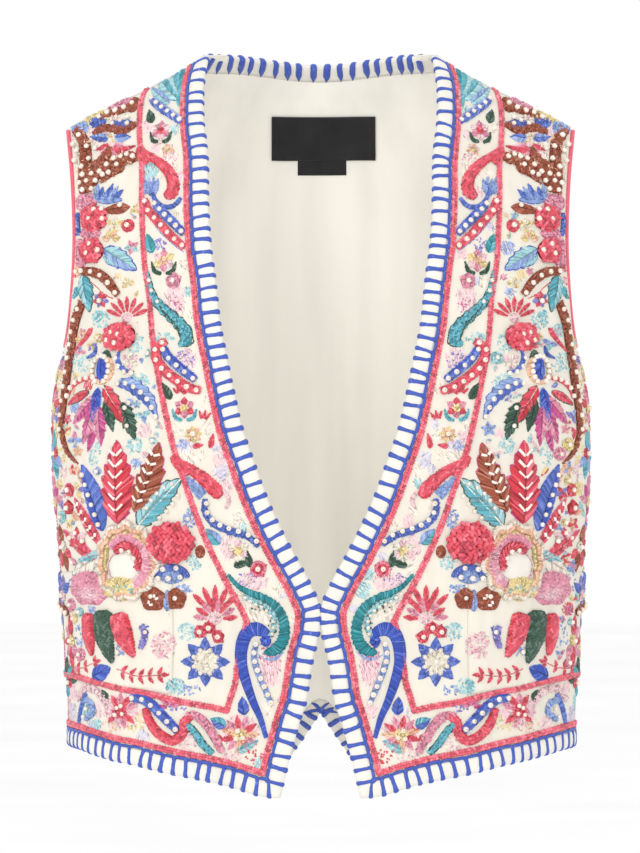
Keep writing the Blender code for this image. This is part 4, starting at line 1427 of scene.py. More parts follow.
def hatch(work, centre, radii, colour, gap=1.2, length=3.4, size=0.85):
    """Soft patch of fine slanted stitches close together."""
    centre, radii = oval(work, centre, radii)
    x, y = np.meshgrid(np.arange(-radii[0], radii[0], gap), np.arange(-radii[1], radii[1], gap * 1.4))
    spots = np.stack([x.ravel(), y.ravel()], axis=1)
    spots = spots[np.sum((spots / radii) ** 2, axis=1) < work.rng.uniform(0.6, 1.1, len(spots))]
    if not len(spots):
        return
    turn = work.rng.uniform(-0.9, 0.9) + work.rng.normal(0, 0.25, len(spots))
    arm = np.stack([np.sin(turn), np.cos(turn)], axis=1) * length / 2
    middle = centre + spots + work.rng.normal(0, gap * 0.22, spots.shape)
    work.stitch(colour, middle - arm, middle + arm, size, size * 0.5, 0.0, 0.0, 0.12)


def veins(work, base, tip, half, count, lean=0.9, level=2.4):
    """Pairs of white tube beads slanting from the middle of a leaf, at the height of its dome."""
    way = (tip - base) / np.linalg.norm(tip - base)
    across = np.array([way[1], -way[0]])
    for number in range(count):
        foot = base + (tip - base) * (0.16 + 0.66 * number / max(count - 1, 1))
        for lane in (-1, 1):
            begin = foot + across * lane * 0.5
            finish = foot + across * lane * half * 0.62 + way * half * lean * 0.6
            work.stitch("bugle", begin, finish, 2.0, 1.3, level, level * 0.86, 0.1, "tube")


def leaf(work, base, tip, half, colour, height=1.0, edge=None, bend=0.0, second=None, kind="leaf", size=1.25,
         teeth=0):
    """Leaf from a base place to a tip place of the camera's frame."""
    base = seen(*base)
    tip = seen(*tip)
    way = tip - base
    middle = (base + tip) / 2 + np.array([way[1], -way[0]]) * bend
    shape = ribbon(work, np.array([base, middle, tip]), half, kind, colour, height, "slant", size, size,
                   second, teeth)
    if edge:
        rim(work, shape, edge)
    return base, tip


def rosette(work, place_in_frame, radius, colour, pearls=1, height=1.4, weave="knots"):
    """Small round flower of knots with pearls on it."""
    centre = seen(*place_in_frame)
    disc(work, centre, (radius, radius), colour, height, weave, lobes=5, depth=0.07)
    if pearls == 1:
        work.pearl(centre, 2.2, height * 0.8)
    else:
        for number in range(pearls):
            angle = 2 * math.pi * number / pearls + 0.5
            spot = centre + np.array([math.sin(angle), math.cos(angle)]) * radius * 0.5
            work.pearl(spot, 2.2, height * 0.75)


def small_flower(work, place_in_frame, radius, colours, heart, sepals="green", turn=0.0):
    """Flower of round petals with a heart and two sepals below it."""
    centre = seen(*place_in_frame)
    radius = radius * 1.12
    petals(work, centre, 6, radius * 0.25, radius, radius * 0.38, colours, turn, height=1.0)
    disc(work, centre, (radius * 0.38, radius * 0.38), heart, 0.9, "knots", base=0.5)
    if sepals:
        for lane in (-1, 1):
            foot = centre + np.array([lane * radius * 0.15, radius * 1.15])
            bow = centre + np.array([lane * radius * 0.85, radius * 0.95])
            tip = centre + np.array([lane * radius * 1.2, radius * 0.1])
            ribbon(work, np.array([foot, bow, tip]), radius * 0.2, "leaf", sepals, 0.8)


def sprig(work, places, colour, size, pairs, spread=55.0):
    """Stem with small leaves in pairs."""
    line = smooth(trail(*places), 0.8)
    outline(work, line, colour, 0.7)
    way, across = ways(line)
    for number in range(pairs):
        k = int((0.15 + 0.8 * number / max(pairs - 1, 1)) * (len(line) - 1))
        for lane in (-1, 1):
            turn = math.radians(spread)
            out = way[k] * math.cos(turn) + across[k] * lane * math.sin(turn)
            foot = line[k] + out * 0.4
            ribbon(work, np.array([foot, foot + out * size * 0.5, foot + out * size]), size * 0.22, "leaf",
                   colour, 0.6)
    tip = line[-1]
    ribbon(work, np.array([tip, tip + way[-1] * size]), size * 0.24, "leaf", colour, 0.6)


def rope(work, places, half, colour, height, kind="rope", weave="chain", size=1.3, second=None, pearls=None,
         pearl_inset=0.0, edge=None, teeth=0):
    """Padded rope of stitches along places of the camera's frame."""
    line = trail(*places)
    shape = ribbon(work, line, half, kind, colour, height, weave, size=size, second=second, teeth=teeth)
    if edge:
        rim(work, shape, edge)
    if pearls:
        fine, _, _ = shape
        keep = fine[int(len(fine) * 0.06):int(len(fine) * 0.97)]
        low = height * 0.75 if abs(pearl_inset) < half * 0.6 else 0.1
        pearls_along(work, keep, pearls, 2.2, low, pearl_inset)


def star(work, place_in_frame, radius, colour, heart):
    """Eight-pointed star with a pale heart of long stitches and pearls between its points."""
    centre = seen(*place_in_frame)
    petals(work, centre, 8, radius * 0.42, radius, radius * 0.2, (colour,), 0, height=0.9)
    turns = np.arange(8) * math.pi / 4
    corners = []
    for turn in turns:
        corners.append(centre + radius * clock(turn))
        corners.append(centre + radius * 0.62 * clock(turn + math.pi / 8))
    corners.append(corners[0])
    for k in range(16):
        outline(work, np.array([corners[k], corners[k + 1]]), "deep_blue", 0.9, 0.2, 1.6)
    disc(work, centre, (radius * 0.6, radius * 0.6), heart, 0.5, "radial", size=1.0)
    for turn in turns:
        work.pearl(centre + radius * 0.5 * clock(turn + math.pi / 8), 1.7, 0.3)
    petals(work, centre, 8, radius * 0.12, radius * 0.42, 0.9, ("cream",), 22.5, height=0.7)
    work.pearl(centre, 1.9, 0.6)


def braid(work, distance):
    """Coral braid along a front: two rows of slanted loops."""
    for leg in inside_line(work.side, distance):
        line = even(leg, 2.1)
        way, across = ways(line)
        line = line[(line[:, 1] > -40)]
        way = way[:len(line)]
        across = across[:len(line)]
        for lane in (-1, 1):
            begin = line - way * 1.1 + across * lane * 1.75
            finish = line + way * 1.5 + across * lane * 0.15
            work.stitch("braid", begin, finish, 2.2, 1.3, 0.1, 0.45, 0.25, "round")


def piping(side, word):
    """Twisted coral cord sewn round the armhole."""
    shares = np.linspace(0, UNDERARM_ROW, 90)
    front_theta = side_theta(shares)
    drop = side_drop(shares)
    theta = np.concatenate([front_theta, math.pi - front_theta[-2:0:-1]])
    drop = np.concatenate([drop, drop[-2:0:-1]])
    edge = skin(theta, drop, side)
    normal = outward(theta, drop, side)
    normal[:3] = (0.35 * side, 0, 0.94)
    normal[-2:] = (0.35 * side, 0, 0.94)
    bottom = len(shares) - 1
    normal[bottom - 2:bottom + 3] = (side, 0, 0)
    steps = np.linalg.norm(np.roll(edge, -1, axis=0) - edge, axis=1)
    spots = np.concatenate([[0], np.cumsum(steps)])
    count = 430
    fine = np.linspace(0, spots[-1], count + 1)[:-1]
    loop = np.concatenate([edge, edge[:1]])
    tops = np.concatenate([normal, normal[:1]])
    edge = picked(loop, spots, fine)
    normal = picked(tops, spots, fine)
    window = 7
    for _ in range(3):
        normal = sum(np.roll(normal, k, axis=0) for k in range(-window, window + 1)) / (2 * window + 1)
        edge = sum(np.roll(edge, k, axis=0) for k in (-2, -1, 0, 1, 2)) / 5
    along = unit(np.roll(edge, -1, axis=0) - np.roll(edge, 1, axis=0))
    normal = unit(normal - along * np.sum(normal * along, axis=1, keepdims=True))
    away = np.cross(normal, along) * side
    centre = edge - normal * FRONT_THICK / 2 + away * (0.2 + PIPING_RADIUS)
    around = 14
    turn = np.arange(around) * 2 * math.pi / around
    twist = fine[:, None] * 1.25
    radius = PIPING_RADIUS * (1.0 + 0.17 * np.abs(np.sin(turn[None, :] + twist)))
    ring = (centre[:, None, :] + away[:, None, :] * (radius * np.cos(turn))[..., None]
            + normal[:, None, :] * (radius * np.sin(turn))[..., None])
    quads = grid_faces(count + 1, around, 0, False, True) % (count * around)
    piece = link_mesh("armhole_cord_" + word, ring.reshape(-1, 3), quads.ravel(), np.full(len(quads), 4),
                      [ARMHOLE_CORD], closed=True)
    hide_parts("armhole_piping_" + word)


def pocket(work):
    """Pocket patch laid on a front with a turned and stitched edge."""
    side = work.side
    shares = np.linspace(POCKET_SHARES[0], POCKET_SHARES[1], 34)
    across = np.linspace(0, 1, 200)
    theta, drop = front_grid(shares, across)
    top_row = skin(theta[0], drop[0], side)[:, 0]
    first = float(np.interp(POCKET_INNER_WIDTH, np.abs(top_row), across))
    columns = np.linspace(first, 0.998, 60)
    theta, drop = front_grid(shares, columns)
    girth = girth_of(theta, drop, side)
    flat = np.stack([girth, drop], axis=-1)
    rows_in = np.minimum(np.arange(34), np.arange(34)[::-1])[:, None]
    columns_in = np.arange(60)[None, :] + 0 * rows_in
    turned = np.exp(-((rows_in - 1.2) / 1.1) ** 2) + np.exp(-((columns_in - 1.2) / 1.1) ** 2)
    edge_round = np.clip(np.minimum(rows_in, columns_in) / 1.0, 0.45, 1)
    height = 0.25 + (POCKET_LIFT - 0.35) * edge_round + 0.18 * np.clip(turned, 0, 1)
    points = place(flat, height, side)
    low = place(flat, 0.12, side)
    for face in (points, low):
        face[..., 1] = np.minimum(face[..., 1], -0.5)
    sheet_of("pocket_patch_" + work.word, (points, low), [IVORY], "pocket_" + work.word)
    work.pocket = (flat[:, 0], flat[0], flat[-1])
    for line in (flat[1, 1:-1], flat[-2, 1:-1], flat[1:-1, 1]):
        stations = even(line, 2.4)
        way, _ = ways(stations)
        work.stitch("cream", stations - way * 0.8, stations + way * 0.8, 0.5, 0.3, 0.05)


def tag(name, box, node, lift):
    """Bare woven label sewn flat to the lining."""
    (left, right), (top, bottom) = box
    columns = np.linspace(left, right, 60)
    rows = np.linspace(top, bottom, 34)
    girth = np.zeros((len(rows), len(columns)))
    for k, width in enumerate(columns):
        side = 1 if width >= 0 else -1
        turn = theta_of_width(abs(width), rows)
        girth[:, k] = side * girth_of(turn, rows, side, math.pi)
    flat = np.stack([girth, np.repeat(rows[:, None], len(columns), axis=1)], axis=-1)
    rows_in = np.minimum(np.arange(len(rows)), np.arange(len(rows))[::-1])[:, None]
    columns_in = np.minimum(np.arange(len(columns)), np.arange(len(columns))[::-1])[None, :]
    inset = np.minimum(rows_in, columns_in)
    under = LINING_DEPTH + LINING_THICK
    rim_height = 0.16 * np.exp(-((inset - 1.5) / 1.2) ** 2)
    thickness = 0.35 + 0.4 * np.clip(inset / 1.0, 0, 1) + rim_height
    outer = place_back(flat, -under - lift)
    inner = place_back(flat, -under - lift - thickness)
    sheet_of(name, (outer, inner), [LABEL], node)


# Motifs of the border between the two braids, from the shoulder down; places are in the camera's frame.
def border_top(work):
    """Feather, pearled rope, flower and hooked paisley near the shoulder."""
    leaf(work, (178, 100), (160, 78), 4.2, "aqua", 1.0, "turquoise", second="turquoise")
    leaf(work, (180, 108), (183, 80), 3.2, "turquoise", 1.0, second="aqua")
    leaf(work, (181, 98), (174, 70), 4.0, "aqua", 1.0, second="turquoise")
    leaf(work, (181, 92), (183, 66), 3.0, "turquoise", 1.0, second="teal")
    leaf(work, (170, 104), (152, 88), 3.2, "aqua", 1.0, second="light_blue")
    hatch(work, seen(167, 90), (9, 9), "aqua", 1.4)
    hatch(work, seen(160, 88), (6, 6), "turquoise", 2.4)
    hatch(work, seen(178, 80), (5, 9), "turquoise", 2.0)
    rope(work, ((151, 99), (160, 107), (170, 114), (182, 122)), 2.9, "blue", 1.3, pearls=6.5,
         second="light_blue")
    leaf(work, (152, 124), (149, 110), 3.2, "green", 0.9)
    small_flower(work, (161, 131), 6.4, ("pink", "pale_pink"), "coral")
    small_flower(work, (168, 150), 4.2, ("peach", "pale_pink"), "yellow", None, 20)
    hatch(work, seen(169, 166), (7, 12), "sand")
    hatch(work, seen(168, 160), (6, 8), "pale_pink", 2.2)
    scatter(work, seen(170, 160), (6, 8), "pink", 22, 1.6)
    rope(work, ((165, 198), (173, 191), (172, 178), (164, 167), (152, 158), (140, 150)), 4.6, "coral", 2.0,
         "paisley", size=1.4, second="red")
    rope(work, ((140, 147), (142, 156), (148, 163)), 3.2, "coral", 1.4, size=1.3)
    for lane in range(5):
        tip = (140 + lane * 4.5, 179 - 2 * (lane % 2))
        leaf(work, (146 + lane * 2, 195), tip, 1.6, "light_blue", 0.8, None, 0.05)
    leaf(work, (150, 197), (158, 180), 2.6, "blue", 0.9, second="light_blue")


def border_upper(work):
    """Pearled ropes of blue and coral with a bud below them."""
    rope(work, ((181, 198), (174, 206), (163, 207), (155, 200), (153, 193)), 1.9, "blue", 1.2, weave="cross")
    rope(work, ((154, 203), (163, 213), (174, 224), (184, 234)), 3.1, "blue", 1.5, pearls=6.6,
         second="deep_blue")
    rope(work, ((145, 199), (148, 210), (160, 224), (172, 237), (185, 248)), 2.9, "coral", 1.5, pearls=7.4)
    outline(work, trail((147, 214), (158, 230), (170, 242), (184, 253)), "violet", 0.7, 0.1)
    leaf(work, (153, 254), (147, 234), 3.6, "turquoise", 1.0, second="teal")
    small_flower(work, (164, 261), 7.0, ("pink", "pale_pink", "yellow"), "peach")
    scatter(work, seen(160, 246), (5, 5), "violet", 30)
    rosette(work, (173, 281), 5.4, "pink", 1, 1.1)
    hatch(work, seen(174, 299), (8, 11), "pale_pink")
    scatter(work, seen(176, 305), (5, 6), "magenta", 18, 1.6)


def border_middle(work):
    """Teal stem, double beaded paisley and a coral flower."""
    rope(work, ((179, 345), (187, 339), (182, 327), (170, 315), (157, 303), (150, 290), (147, 272)), 4.6,
         "turquoise", 1.6, "paisley", second="aqua", weave="knots", size=1.2, edge="green", teeth=9)
    rope(work, ((181, 340), (176, 325), (164, 312), (155, 300)), 1.6, "green", 1.5, "crescent", "cross")
    work.pearl(trail((150, 281), (152, 291), (158, 302)), 1.8, 1.2)
    rope(work, ((167, 341), (158, 347), (156, 357), (163, 369), (176, 380), (189, 388), (200, 391)), 3.5,
         "coral", 1.8, pearls=7.6)
    rope(work, ((163, 348), (169, 358), (180, 368), (195, 380)), 3.2, "blue", 1.6, second="deep_blue",
         pearls=7.0)
    hatch(work, seen(185, 359), (8, 8), "pale_pink", 1.3)
    scatter(work, seen(184, 360), (7, 7), "violet", 40, 1.6)
    scatter(work, seen(164, 338), (8, 3.5), "aqua", 44)
    leaf(work, (171, 400), (162, 383), 3.0, "green", 1.0)
    small_flower(work, (184, 408), 6.6, ("coral", "pink"), "yellow", "turquoise")
    petals(work, seen(180, 396), 5, 2, 7.5, 0.9, ("coral",), -55, 100, 0.6)
    petals(work, seen(203, 422), 3, 2, 8, 1.1, ("coral",), -40, 60, 0.6)
    petals(work, seen(193, 435), 8, 1.5, 6.2, 1.6, ("yellow", "peach"), 10, 360, 0.8)
    rosette(work, (193, 434), 2.4, "peach", 1, 0.8)
    leaf(work, (210, 449), (213, 434), 2.0, "coral", 0.8)
    leaf(work, (192, 447), (203, 445), 1.9, "coral", 0.8)
    hatch(work, seen(192, 454), (10, 6), "sand")
    hatch(work, seen(186, 446), (7, 5), "mist")
    scatter(work, seen(182, 445), (4, 4), "light_blue", 20)


def border_lower(work):
    """Second hooked paisley, its pearled stem, and a pale flower."""
    rope(work, ((221, 497), (212, 487), (200, 476), (186, 467), (172, 460)), 5.0, "coral", 2.0, "paisley",
         size=1.5, second="red")
    rope(work, ((172, 456), (180, 466), (190, 473)), 3.6, "coral", 1.6, size=1.4)
    for lane in range(6):
        leaf(work, (200 + lane * 2, 500 - lane * 2), (184 + lane * 5, 474 + lane * 4), 1.7, "light_blue", 0.8)
    scatter(work, seen(196, 487), (6, 6), "blue", 26)
    rope(work, ((205, 499), (205, 512), (214, 524), (230, 531), (246, 536), (258, 545)), 2.7, "blue", 1.4,
         pearls=7.4, pearl_inset=-1.6, weave="knots")
    rope(work, ((224, 492), (229, 500), (226, 508)), 1.6, "pale_pink", 0.8, weave="cross")
    leaf(work, (220, 545), (206, 529), 4.2, "turquoise", 1.0, second="light_blue")
    small_flower(work, (238, 551), 7.6, ("pale_pink", "cream"), "yellow", None)
    leaf(work, (233, 566), (250, 562), 2.6, "green", 0.9)
    leaf(work, (250, 568), (247, 551), 2.6, "green", 0.9)
    rosette(work, (258, 569), 5.6, "coral", 1, 1.2)
    disc(work, seen(258, 569), (5.8, 5.8), "pink", 1.0, "radial", 0.6, 1.0)
    hatch(work, seen(252, 582), (12, 7), "pale_pink")
    hatch(work, seen(228, 548), (6, 9), "pale_pink")
    scatter(work, seen(246, 580), (8, 5), "violet", 20, 1.6)


def border_corner(work):
    """Large teal and blue paisleys that curl round each other at the front edge."""
    rope(work,
         ((264, 653), (275, 650), (283, 640), (284, 624), (278, 609), (266, 599), (250, 593), (238, 586),
                (228, 575)), 4.4, "teal", 2.4, "paisley", "cross", 1.0, teeth=25)
    rope(work, ((262, 658), (274, 659), (284, 652)), 1.2, "light_blue", 0.8, "crescent", "cross")
    rope(work, ((243, 597), (256, 602), (268, 609), (274, 619), (273, 630), (268, 638)), 2.3, "aqua", 1.4,
         weave="knots", size=0.9)
    pearls_along(work, trail((240, 594), (253, 603), (265, 609), (273, 621), (272, 634)), 4.2, 1.5, 1.2)
    scatter(work, seen(262, 606), (9, 4), "green", 16, 1.8, 0.9, 1.2)
    scatter(work, seen(272, 626), (3, 8), "green", 14, 1.8, 0.9, 1.2)
    hatch(work, seen(253, 612), (8, 7), "sand", 1.3)
    outline(work, trail((236, 596), (246, 606), (243, 612)), "pale_pink", 0.8)
    rope(work,
         ((268, 640), (265, 633), (256, 629), (247, 633), (242, 645), (241, 662), (246, 682), (253, 702),
                (260, 718), (266, 738)), 5.4, "deep_blue", 2.6, "paisley", "cross", 1.05)
    disc(work, seen(266, 641), (3.6, 4.2), "deep_blue", 2.2, "knots", size=1.4)
    pearls_along(work, trail((256, 644), (254, 656), (257, 668), (262, 681), (267, 693), (271, 703)), 6.6,
                 2.3, 0.7)
    rope(work, ((256, 645), (254, 657), (257, 669), (262, 682), (267, 694), (271, 704)), 2.5, "light_blue",
         0.7, weave="knots", size=1.0)
    hatch(work, seen(271, 666), (7.5, 15), "pale_pink", 1.0)
    hatch(work, seen(271, 664), (6, 12), "pink", 2.2)
    scatter(work, seen(268, 655), (6, 9), "magenta", 34, 1.5)
    outline(work, trail((258, 655), (270, 659), (281, 655)), "light_blue", 0.8)
    leaf(work, (244, 716), (242, 697), 4.0, "deep_blue", 1.0, second="blue")
    leaf(work, (226, 727), (210, 719), 4.2, "blue", 1.0, second="turquoise")
    hatch(work, seen(240, 733), (13, 13), "pale_pink")
    petals(work, seen(240, 735), 11, 2.5, 13.5, 2.4, ("coral", "pink", "peach"), 10, 360, 1.0)
    disc(work, seen(240, 735), (6, 6), "yellow", 1.4, "knots", size=1.1)
    work.pearl(trail((238, 731), (243, 738), (236, 739)), 2.0, 1.1)
    leaf(work, (236, 752), (258, 741), 3.4, "turquoise", 1.1, second="aqua")
    sprig(work, ((222, 742), (226, 732)), "coral", 4.5, 2)
    scatter(work, seen(256, 757), (8, 5), "coral", 26, 1.8)


def hem_border(work):
    """Paisleys and flowers along the hem."""
    rope(work, ((75, 700), (84, 688), (96, 692), (106, 704), (112, 716)), 2.6, "pale_pink", 1.2,
         weave="knots")
    rope(work, ((76, 724), (79, 708), (84, 694)), 2.0, "blue", 1.1, weave="cross")
    rope(work, ((84, 720), (92, 712), (88, 702), (82, 700)), 2.2, "light_blue", 1.1, weave="knots")
    work.pearl(trail((86, 709), (83, 717)), 1.8, 0.8)
    leaf(work, (106, 702), (101, 690), 3.2, "green", 0.9)
    hatch(work, seen(121, 712), (14, 12), "pale_pink")
    petals(work, seen(121, 711), 11, 3, 12.5, 2.5, ("pink", "coral", "pale_pink"), 0, 360, 1.0)
    disc(work, seen(121, 711), (6.5, 6.0), "coral", 1.6, "knots", size=1.1)
    work.pearl(trail((119, 708), (124, 714), (117, 715), (123, 706)), 1.9, 1.2)
    scatter(work, seen(135, 722), (8, 7), "yellow", 46)
    scatter(work, seen(112, 725), (8, 5), "peach", 30)
    rope(work, ((131, 698), (143, 699), (155, 707), (166, 719), (178, 731)), 3.5, "blue", 1.7,
         second="deep_blue", pearls=7.4)
    rope(work, ((146, 708), (151, 722), (160, 734), (173, 741), (183, 733), (184, 722), (192, 716)), 3.4,
         "coral", 1.9, size=1.05, second="red")
    rope(work, ((186, 716), (196, 716), (207, 726), (214, 738), (222, 752)), 3.4, "pink", 1.5, weave="knots",
         second="coral")
    rope(work, ((186, 724), (194, 732), (202, 744), (212, 754)), 2.4, "turquoise", 1.3, weave="knots",
         edge="green")
    scatter(work, seen(188, 740), (7, 8), "pale_pink", 70)
    petals(work, seen(170, 708), 6, 1.5, 8.5, 1.2, ("pink", "magenta"), -70, 150, 0.7)
    scatter(work, seen(178, 705), (7, 5), "violet", 26)
    scatter(work, seen(232, 757), (9, 4), "pale_pink", 40)


# Motifs of the main field.
def shoulder_field(work):
    """Dense branches, petals and pearls below the shoulder."""
    disc(work, seen(120, 103), (8.5, 5.5), "pink", 1.2, "knots", size=1.0)
    disc(work, seen(94, 116), (10, 5), "yellow", 1.1, "knots", size=1.0)
    disc(work, seen(133, 105), (4.5, 6), "rust", 1.1, "knots", size=1.0)
    disc(work, seen(80, 129), (6.5, 5), "light_blue", 1.1, "knots")
    disc(work, seen(98, 122), (6, 4.5), "blue", 1.2, "knots")
    rope(work, ((135, 104), (124, 110), (110, 114), (98, 120)), 2.8, "rust", 1.5, weave="knots", size=1.1,
         pearls=7.5)
    hatch(work, seen(84, 160), (11, 22), "sand", 1.5)
    hatch(work, seen(112, 150), (15, 6), "pale_pink", 1.4)
    hatch(work, seen(100, 134), (18, 6), "pale_pink", 1.4)
    rope(work, ((76, 130), (84, 142), (86, 158), (84, 176), (84, 194)), 4.6, "rust", 1.7, weave="knots",
         size=1.3)
    rope(work, ((138, 157), (124, 160), (110, 167), (96, 176), (86, 190)), 5.0, "rust", 1.8, weave="knots",
         size=1.3, teeth=7)
    rope(work, ((110, 148), (106, 158), (96, 166), (88, 172)), 3.8, "rust", 1.6, weave="knots", size=1.3)
    rope(work, ((124, 168), (112, 174), (100, 184)), 3.0, "rust", 1.4, "horn", "knots", 1.3)
    rope(work, ((136, 146), (122, 150), (108, 150)), 2.0, "coral", 1.2, "crescent", "cross")
    rope(work, ((136, 124), (122, 131), (106, 128), (94, 134)), 3.2, "rust", 1.4, weave="knots", size=1.1)
    work.pearl(trail((74, 146), (80, 137), (78, 152), (83, 168), (81, 184), (93, 175), (101, 173), (104, 176),
                     (108, 166), (115, 160), (122, 158), (84, 191), (107, 112), (116, 113), (128, 119),
                     (84, 176)), 2.3, 1.3)
    work.pearl(trail((90, 160), (97, 182), (88, 182), (118, 166), (128, 156), (134, 158), (96, 150),
                     (88, 148), (76, 162), (75, 176), (76, 190), (93, 190), (110, 174)), 2.2, 1.5)
    for spot in ((84, 142), (85, 170), (110, 165), (126, 160)):
        scatter(work, seen(*spot), (7, 6), "peach", 9, 2.6, 1.0, 1.7)
    leaf(work, (109, 139), (90, 137), 3.2, "blue", 1.2, second="light_blue")
    leaf(work, (113, 139), (131, 137), 3.2, "blue", 1.2, second="light_blue")
    petals(work, seen(112, 138), 5, 0.5, 4.4, 1.5, ("cream", "yellow"), 0, 360, 1.0)
    petals(work, seen(112, 144), 6, 2, 12, 1.9, ("coral", "pink"), 112, 136, 1.0)
    disc(work, seen(122, 125), (9, 4), "blue", 1.0, "knots")
    work.pearl(trail((113, 125), (121, 122), (128, 125)), 2.0, 1.0)
    petals(work, seen(113, 122), 4, 1, 5.5, 1.9, ("pale_pink", "cream"), -60, 120, 0.9)
    scatter(work, seen(116, 148), (10, 4), "pale_pink", 40)
    scatter(work, seen(100, 145), (4, 7), "cream", 26)


def chest_field(work):
    """Feather leaf, coral berries, cream bud and jagged leaf."""
    for lane in range(6):
        colour = "blue" if lane % 2 else "light_blue"
        leaf(work, (96 + lane * 3, 202), (98 + lane * 5, 184 + 3 * (lane % 3)), 2.3, colour, 1.1)
    leaf(work, (96, 200), (122, 200), 2.8, "light_blue", 1.0, "blue")
    outline(work, trail((90, 193), (100, 198), (110, 196)), "magenta", 0.8)
    disc(work, seen(86, 203), (8, 6.5), "pink", 1.6, "knots", size=1.15)
    disc(work, seen(94, 219), (8.8, 9.0), "deep_red", 2.7, "plain")
    seeds(work, seen(94, 219), (9.2, 9.4), "coral", 2.7, 1.9)
    work.pearl(trail((91, 220), (104, 220), (96, 211)), 2.3, 2.0)
    leaf(work, (100, 212), (130, 207), 4.0, "rust", 1.4, kind="drop")
    work.pearl(trail((103, 210), (121, 206)), 2.2, 1.1)
    petals(work, seen(115, 226), 6, 0.5, 6.2, 2.2, ("cream", "yellow"), 0, 360, 1.1)
    disc(work, seen(128, 226), (4.6, 4.6), "coral", 1.2, "radial")
    work.pearl(seen(128, 226), 2.3, 0.9)
    rope(work, ((77, 213), (76, 224), (78, 236)), 3.2, "blue", 1.5, weave="knots", pearls=7.6)
    disc(work, seen(90, 234), (7.5, 4.5), "pink", 1.3, "knots", size=1.1)
    disc(work, seen(92, 251), (8.4, 8.2), "deep_red", 2.6, "plain")
    seeds(work, seen(92, 251), (8.8, 8.6), "coral", 2.6, 1.9)
    work.pearl(trail((89, 254), (100, 251), (92, 245)), 2.3, 1.9)
    disc(work, seen(80, 254), (5.5, 11), "pink", 1.5, "knots", size=1.15)
    petals(work, seen(111, 240), 4, 1, 6.8, 2.6, ("yellow", "peach"), -75, 150, 1.0)
    leaf(work, (104, 249), (137, 270), 6.2, "aqua", 1.3, "deep_blue", second="light_blue", teeth=5)
    leaf(work, (104, 256), (120, 266), 3.4, "aqua", 1.0, "blue")
    rope(work, ((81, 271), (96, 273), (108, 281), (118, 295)), 3.7, "rust", 1.8, "rope", "knots", 1.1,
         pearls=9.0)
    outline(work, trail((80, 277), (92, 283), (104, 294), (113, 299)), "coral", 0.8)
    leaf(work, (83, 275), (90, 312), 5.0, "turquoise", 1.2, "green", second="aqua", teeth=5)
    leaf(work, (80, 287), (72, 300), 2.4, "turquoise", 1.0)
    petals(work, seen(128, 284), 5, 0.5, 4.6, 1.9, ("yellow", "cream"), -80, 200, 0.9)
    petals(work, seen(101, 300), 7, 1.0, 5.6, 1.9, ("coral", "violet"), 0, 360, 1.0)
    work.pearl(seen(101, 301), 2.2, 0.9)
    petals(work, seen(126, 319), 7, 4.5, 15.5, 1.5, ("coral",), -66, 132, 0.9, "drop")
    disc(work, seen(126, 318), (3.6, 3.6), "pale_pink", 0.9, "radial")
    disc(work, seen(119, 337), (11.2, 9.6), "deep_red", 3.2, "plain", lobes=6, depth=0.05)
    seeds(work, seen(119, 337), (11.8, 10.2), "coral", 3.3, 2.2)
    work.pearl(trail((110, 341), (114, 333), (121, 335), (118, 344)), 2.3, 2.7)
    scatter(work, seen(100, 320), (6.5, 6.5), "aqua", 60)
    scatter(work, seen(135, 343), (6, 7), "aqua", 50)
    scatter(work, seen(98, 316), (4, 4), "turquoise", 18)
    leaf(work, (104, 352), (112, 358), 2.6, "green", 0.9)


def side_branch(work):
    """Pearled brown branch down the side of the front."""
    rope(work, ((83, 303), (76, 322), (73, 340), (69, 362), (65, 388), (62, 412), (61, 434)), 4.2, "rust",
         1.9, "rope", "knots", size=1.15, pearls=10.5)
    rope(work, ((61, 432), (66, 450), (78, 464)), 3.0, "rust", 1.5, "horn", "knots", size=1.1)
    rope(work, ((92, 328), (84, 340), (74, 352)), 2.0, "coral", 1.2, "horn", "cross")
    scatter(work, seen(76, 362), (5, 8), "aqua", 30)
    scatter(work, seen(60, 352), (7, 14), "peach", 40)
    scatter(work, seen(60, 386), (7, 14), "yellow", 40)
    scatter(work, seen(60, 455), (6, 8), "yellow", 40)
    for level, colour in ((300, "coral"), (330, "pink"), (372, "yellow")):
        disc(work, seen(59, level), (7.5, 8), colour, 1.2, "knots", size=1.1)
        work.pearl(seen(59, level) + np.array([2.0, 1.0]), 2.0, 0.9)


# Leaf fans down the side seam: drop, distance from the seam, turn in degrees, leaf colours, heart.
SIDE_FANS = (
    (252, 20, -70, ("coral", "pink"), "yellow"),
    (284, 30, 20, ("turquoise", "light_blue"), "coral"),
    (318, 19, -80, ("pink", "magenta"), "yellow"),
    (350, 31, 30, ("rust", "coral"), "cream"),
    (384, 20, -60, ("blue", "violet"), "pale_pink"),
    (416, 31, 10, ("coral", "pink"), "yellow"),
    (446, 19, -75, ("green", "turquoise"), "coral"),
)


def side_fans(work):
    """Leaf fans with a knotted heart down the side seam."""
    drops, girths = work.limit
    for drop, inset, first, colours, heart in SIDE_FANS:
        centre = np.array([np.interp(drop, drops, girths) - inset, drop])
        for number in range(6):
            way = clock(math.radians(first + 42 * number))
            reach = 15.0 if number % 2 else 18.0
            line = np.array([centre + way * 4, centre + way * reach * 0.6, centre + way * reach])
            ribbon(work, line, 2.7, "leaf", colours[number % 2], 1.1)
        disc(work, centre, (2.9, 4.2), heart, 1.3, "knots", size=1.1)
        work.pearl(centre, 2.1, 1.1)
    outline(work, np.stack([np.interp(np.arange(235, 478, 6), drops, girths) - 5.5, np.arange(235, 478, 6)],
                           axis=1),
            "coral", 1.2, 0.2)


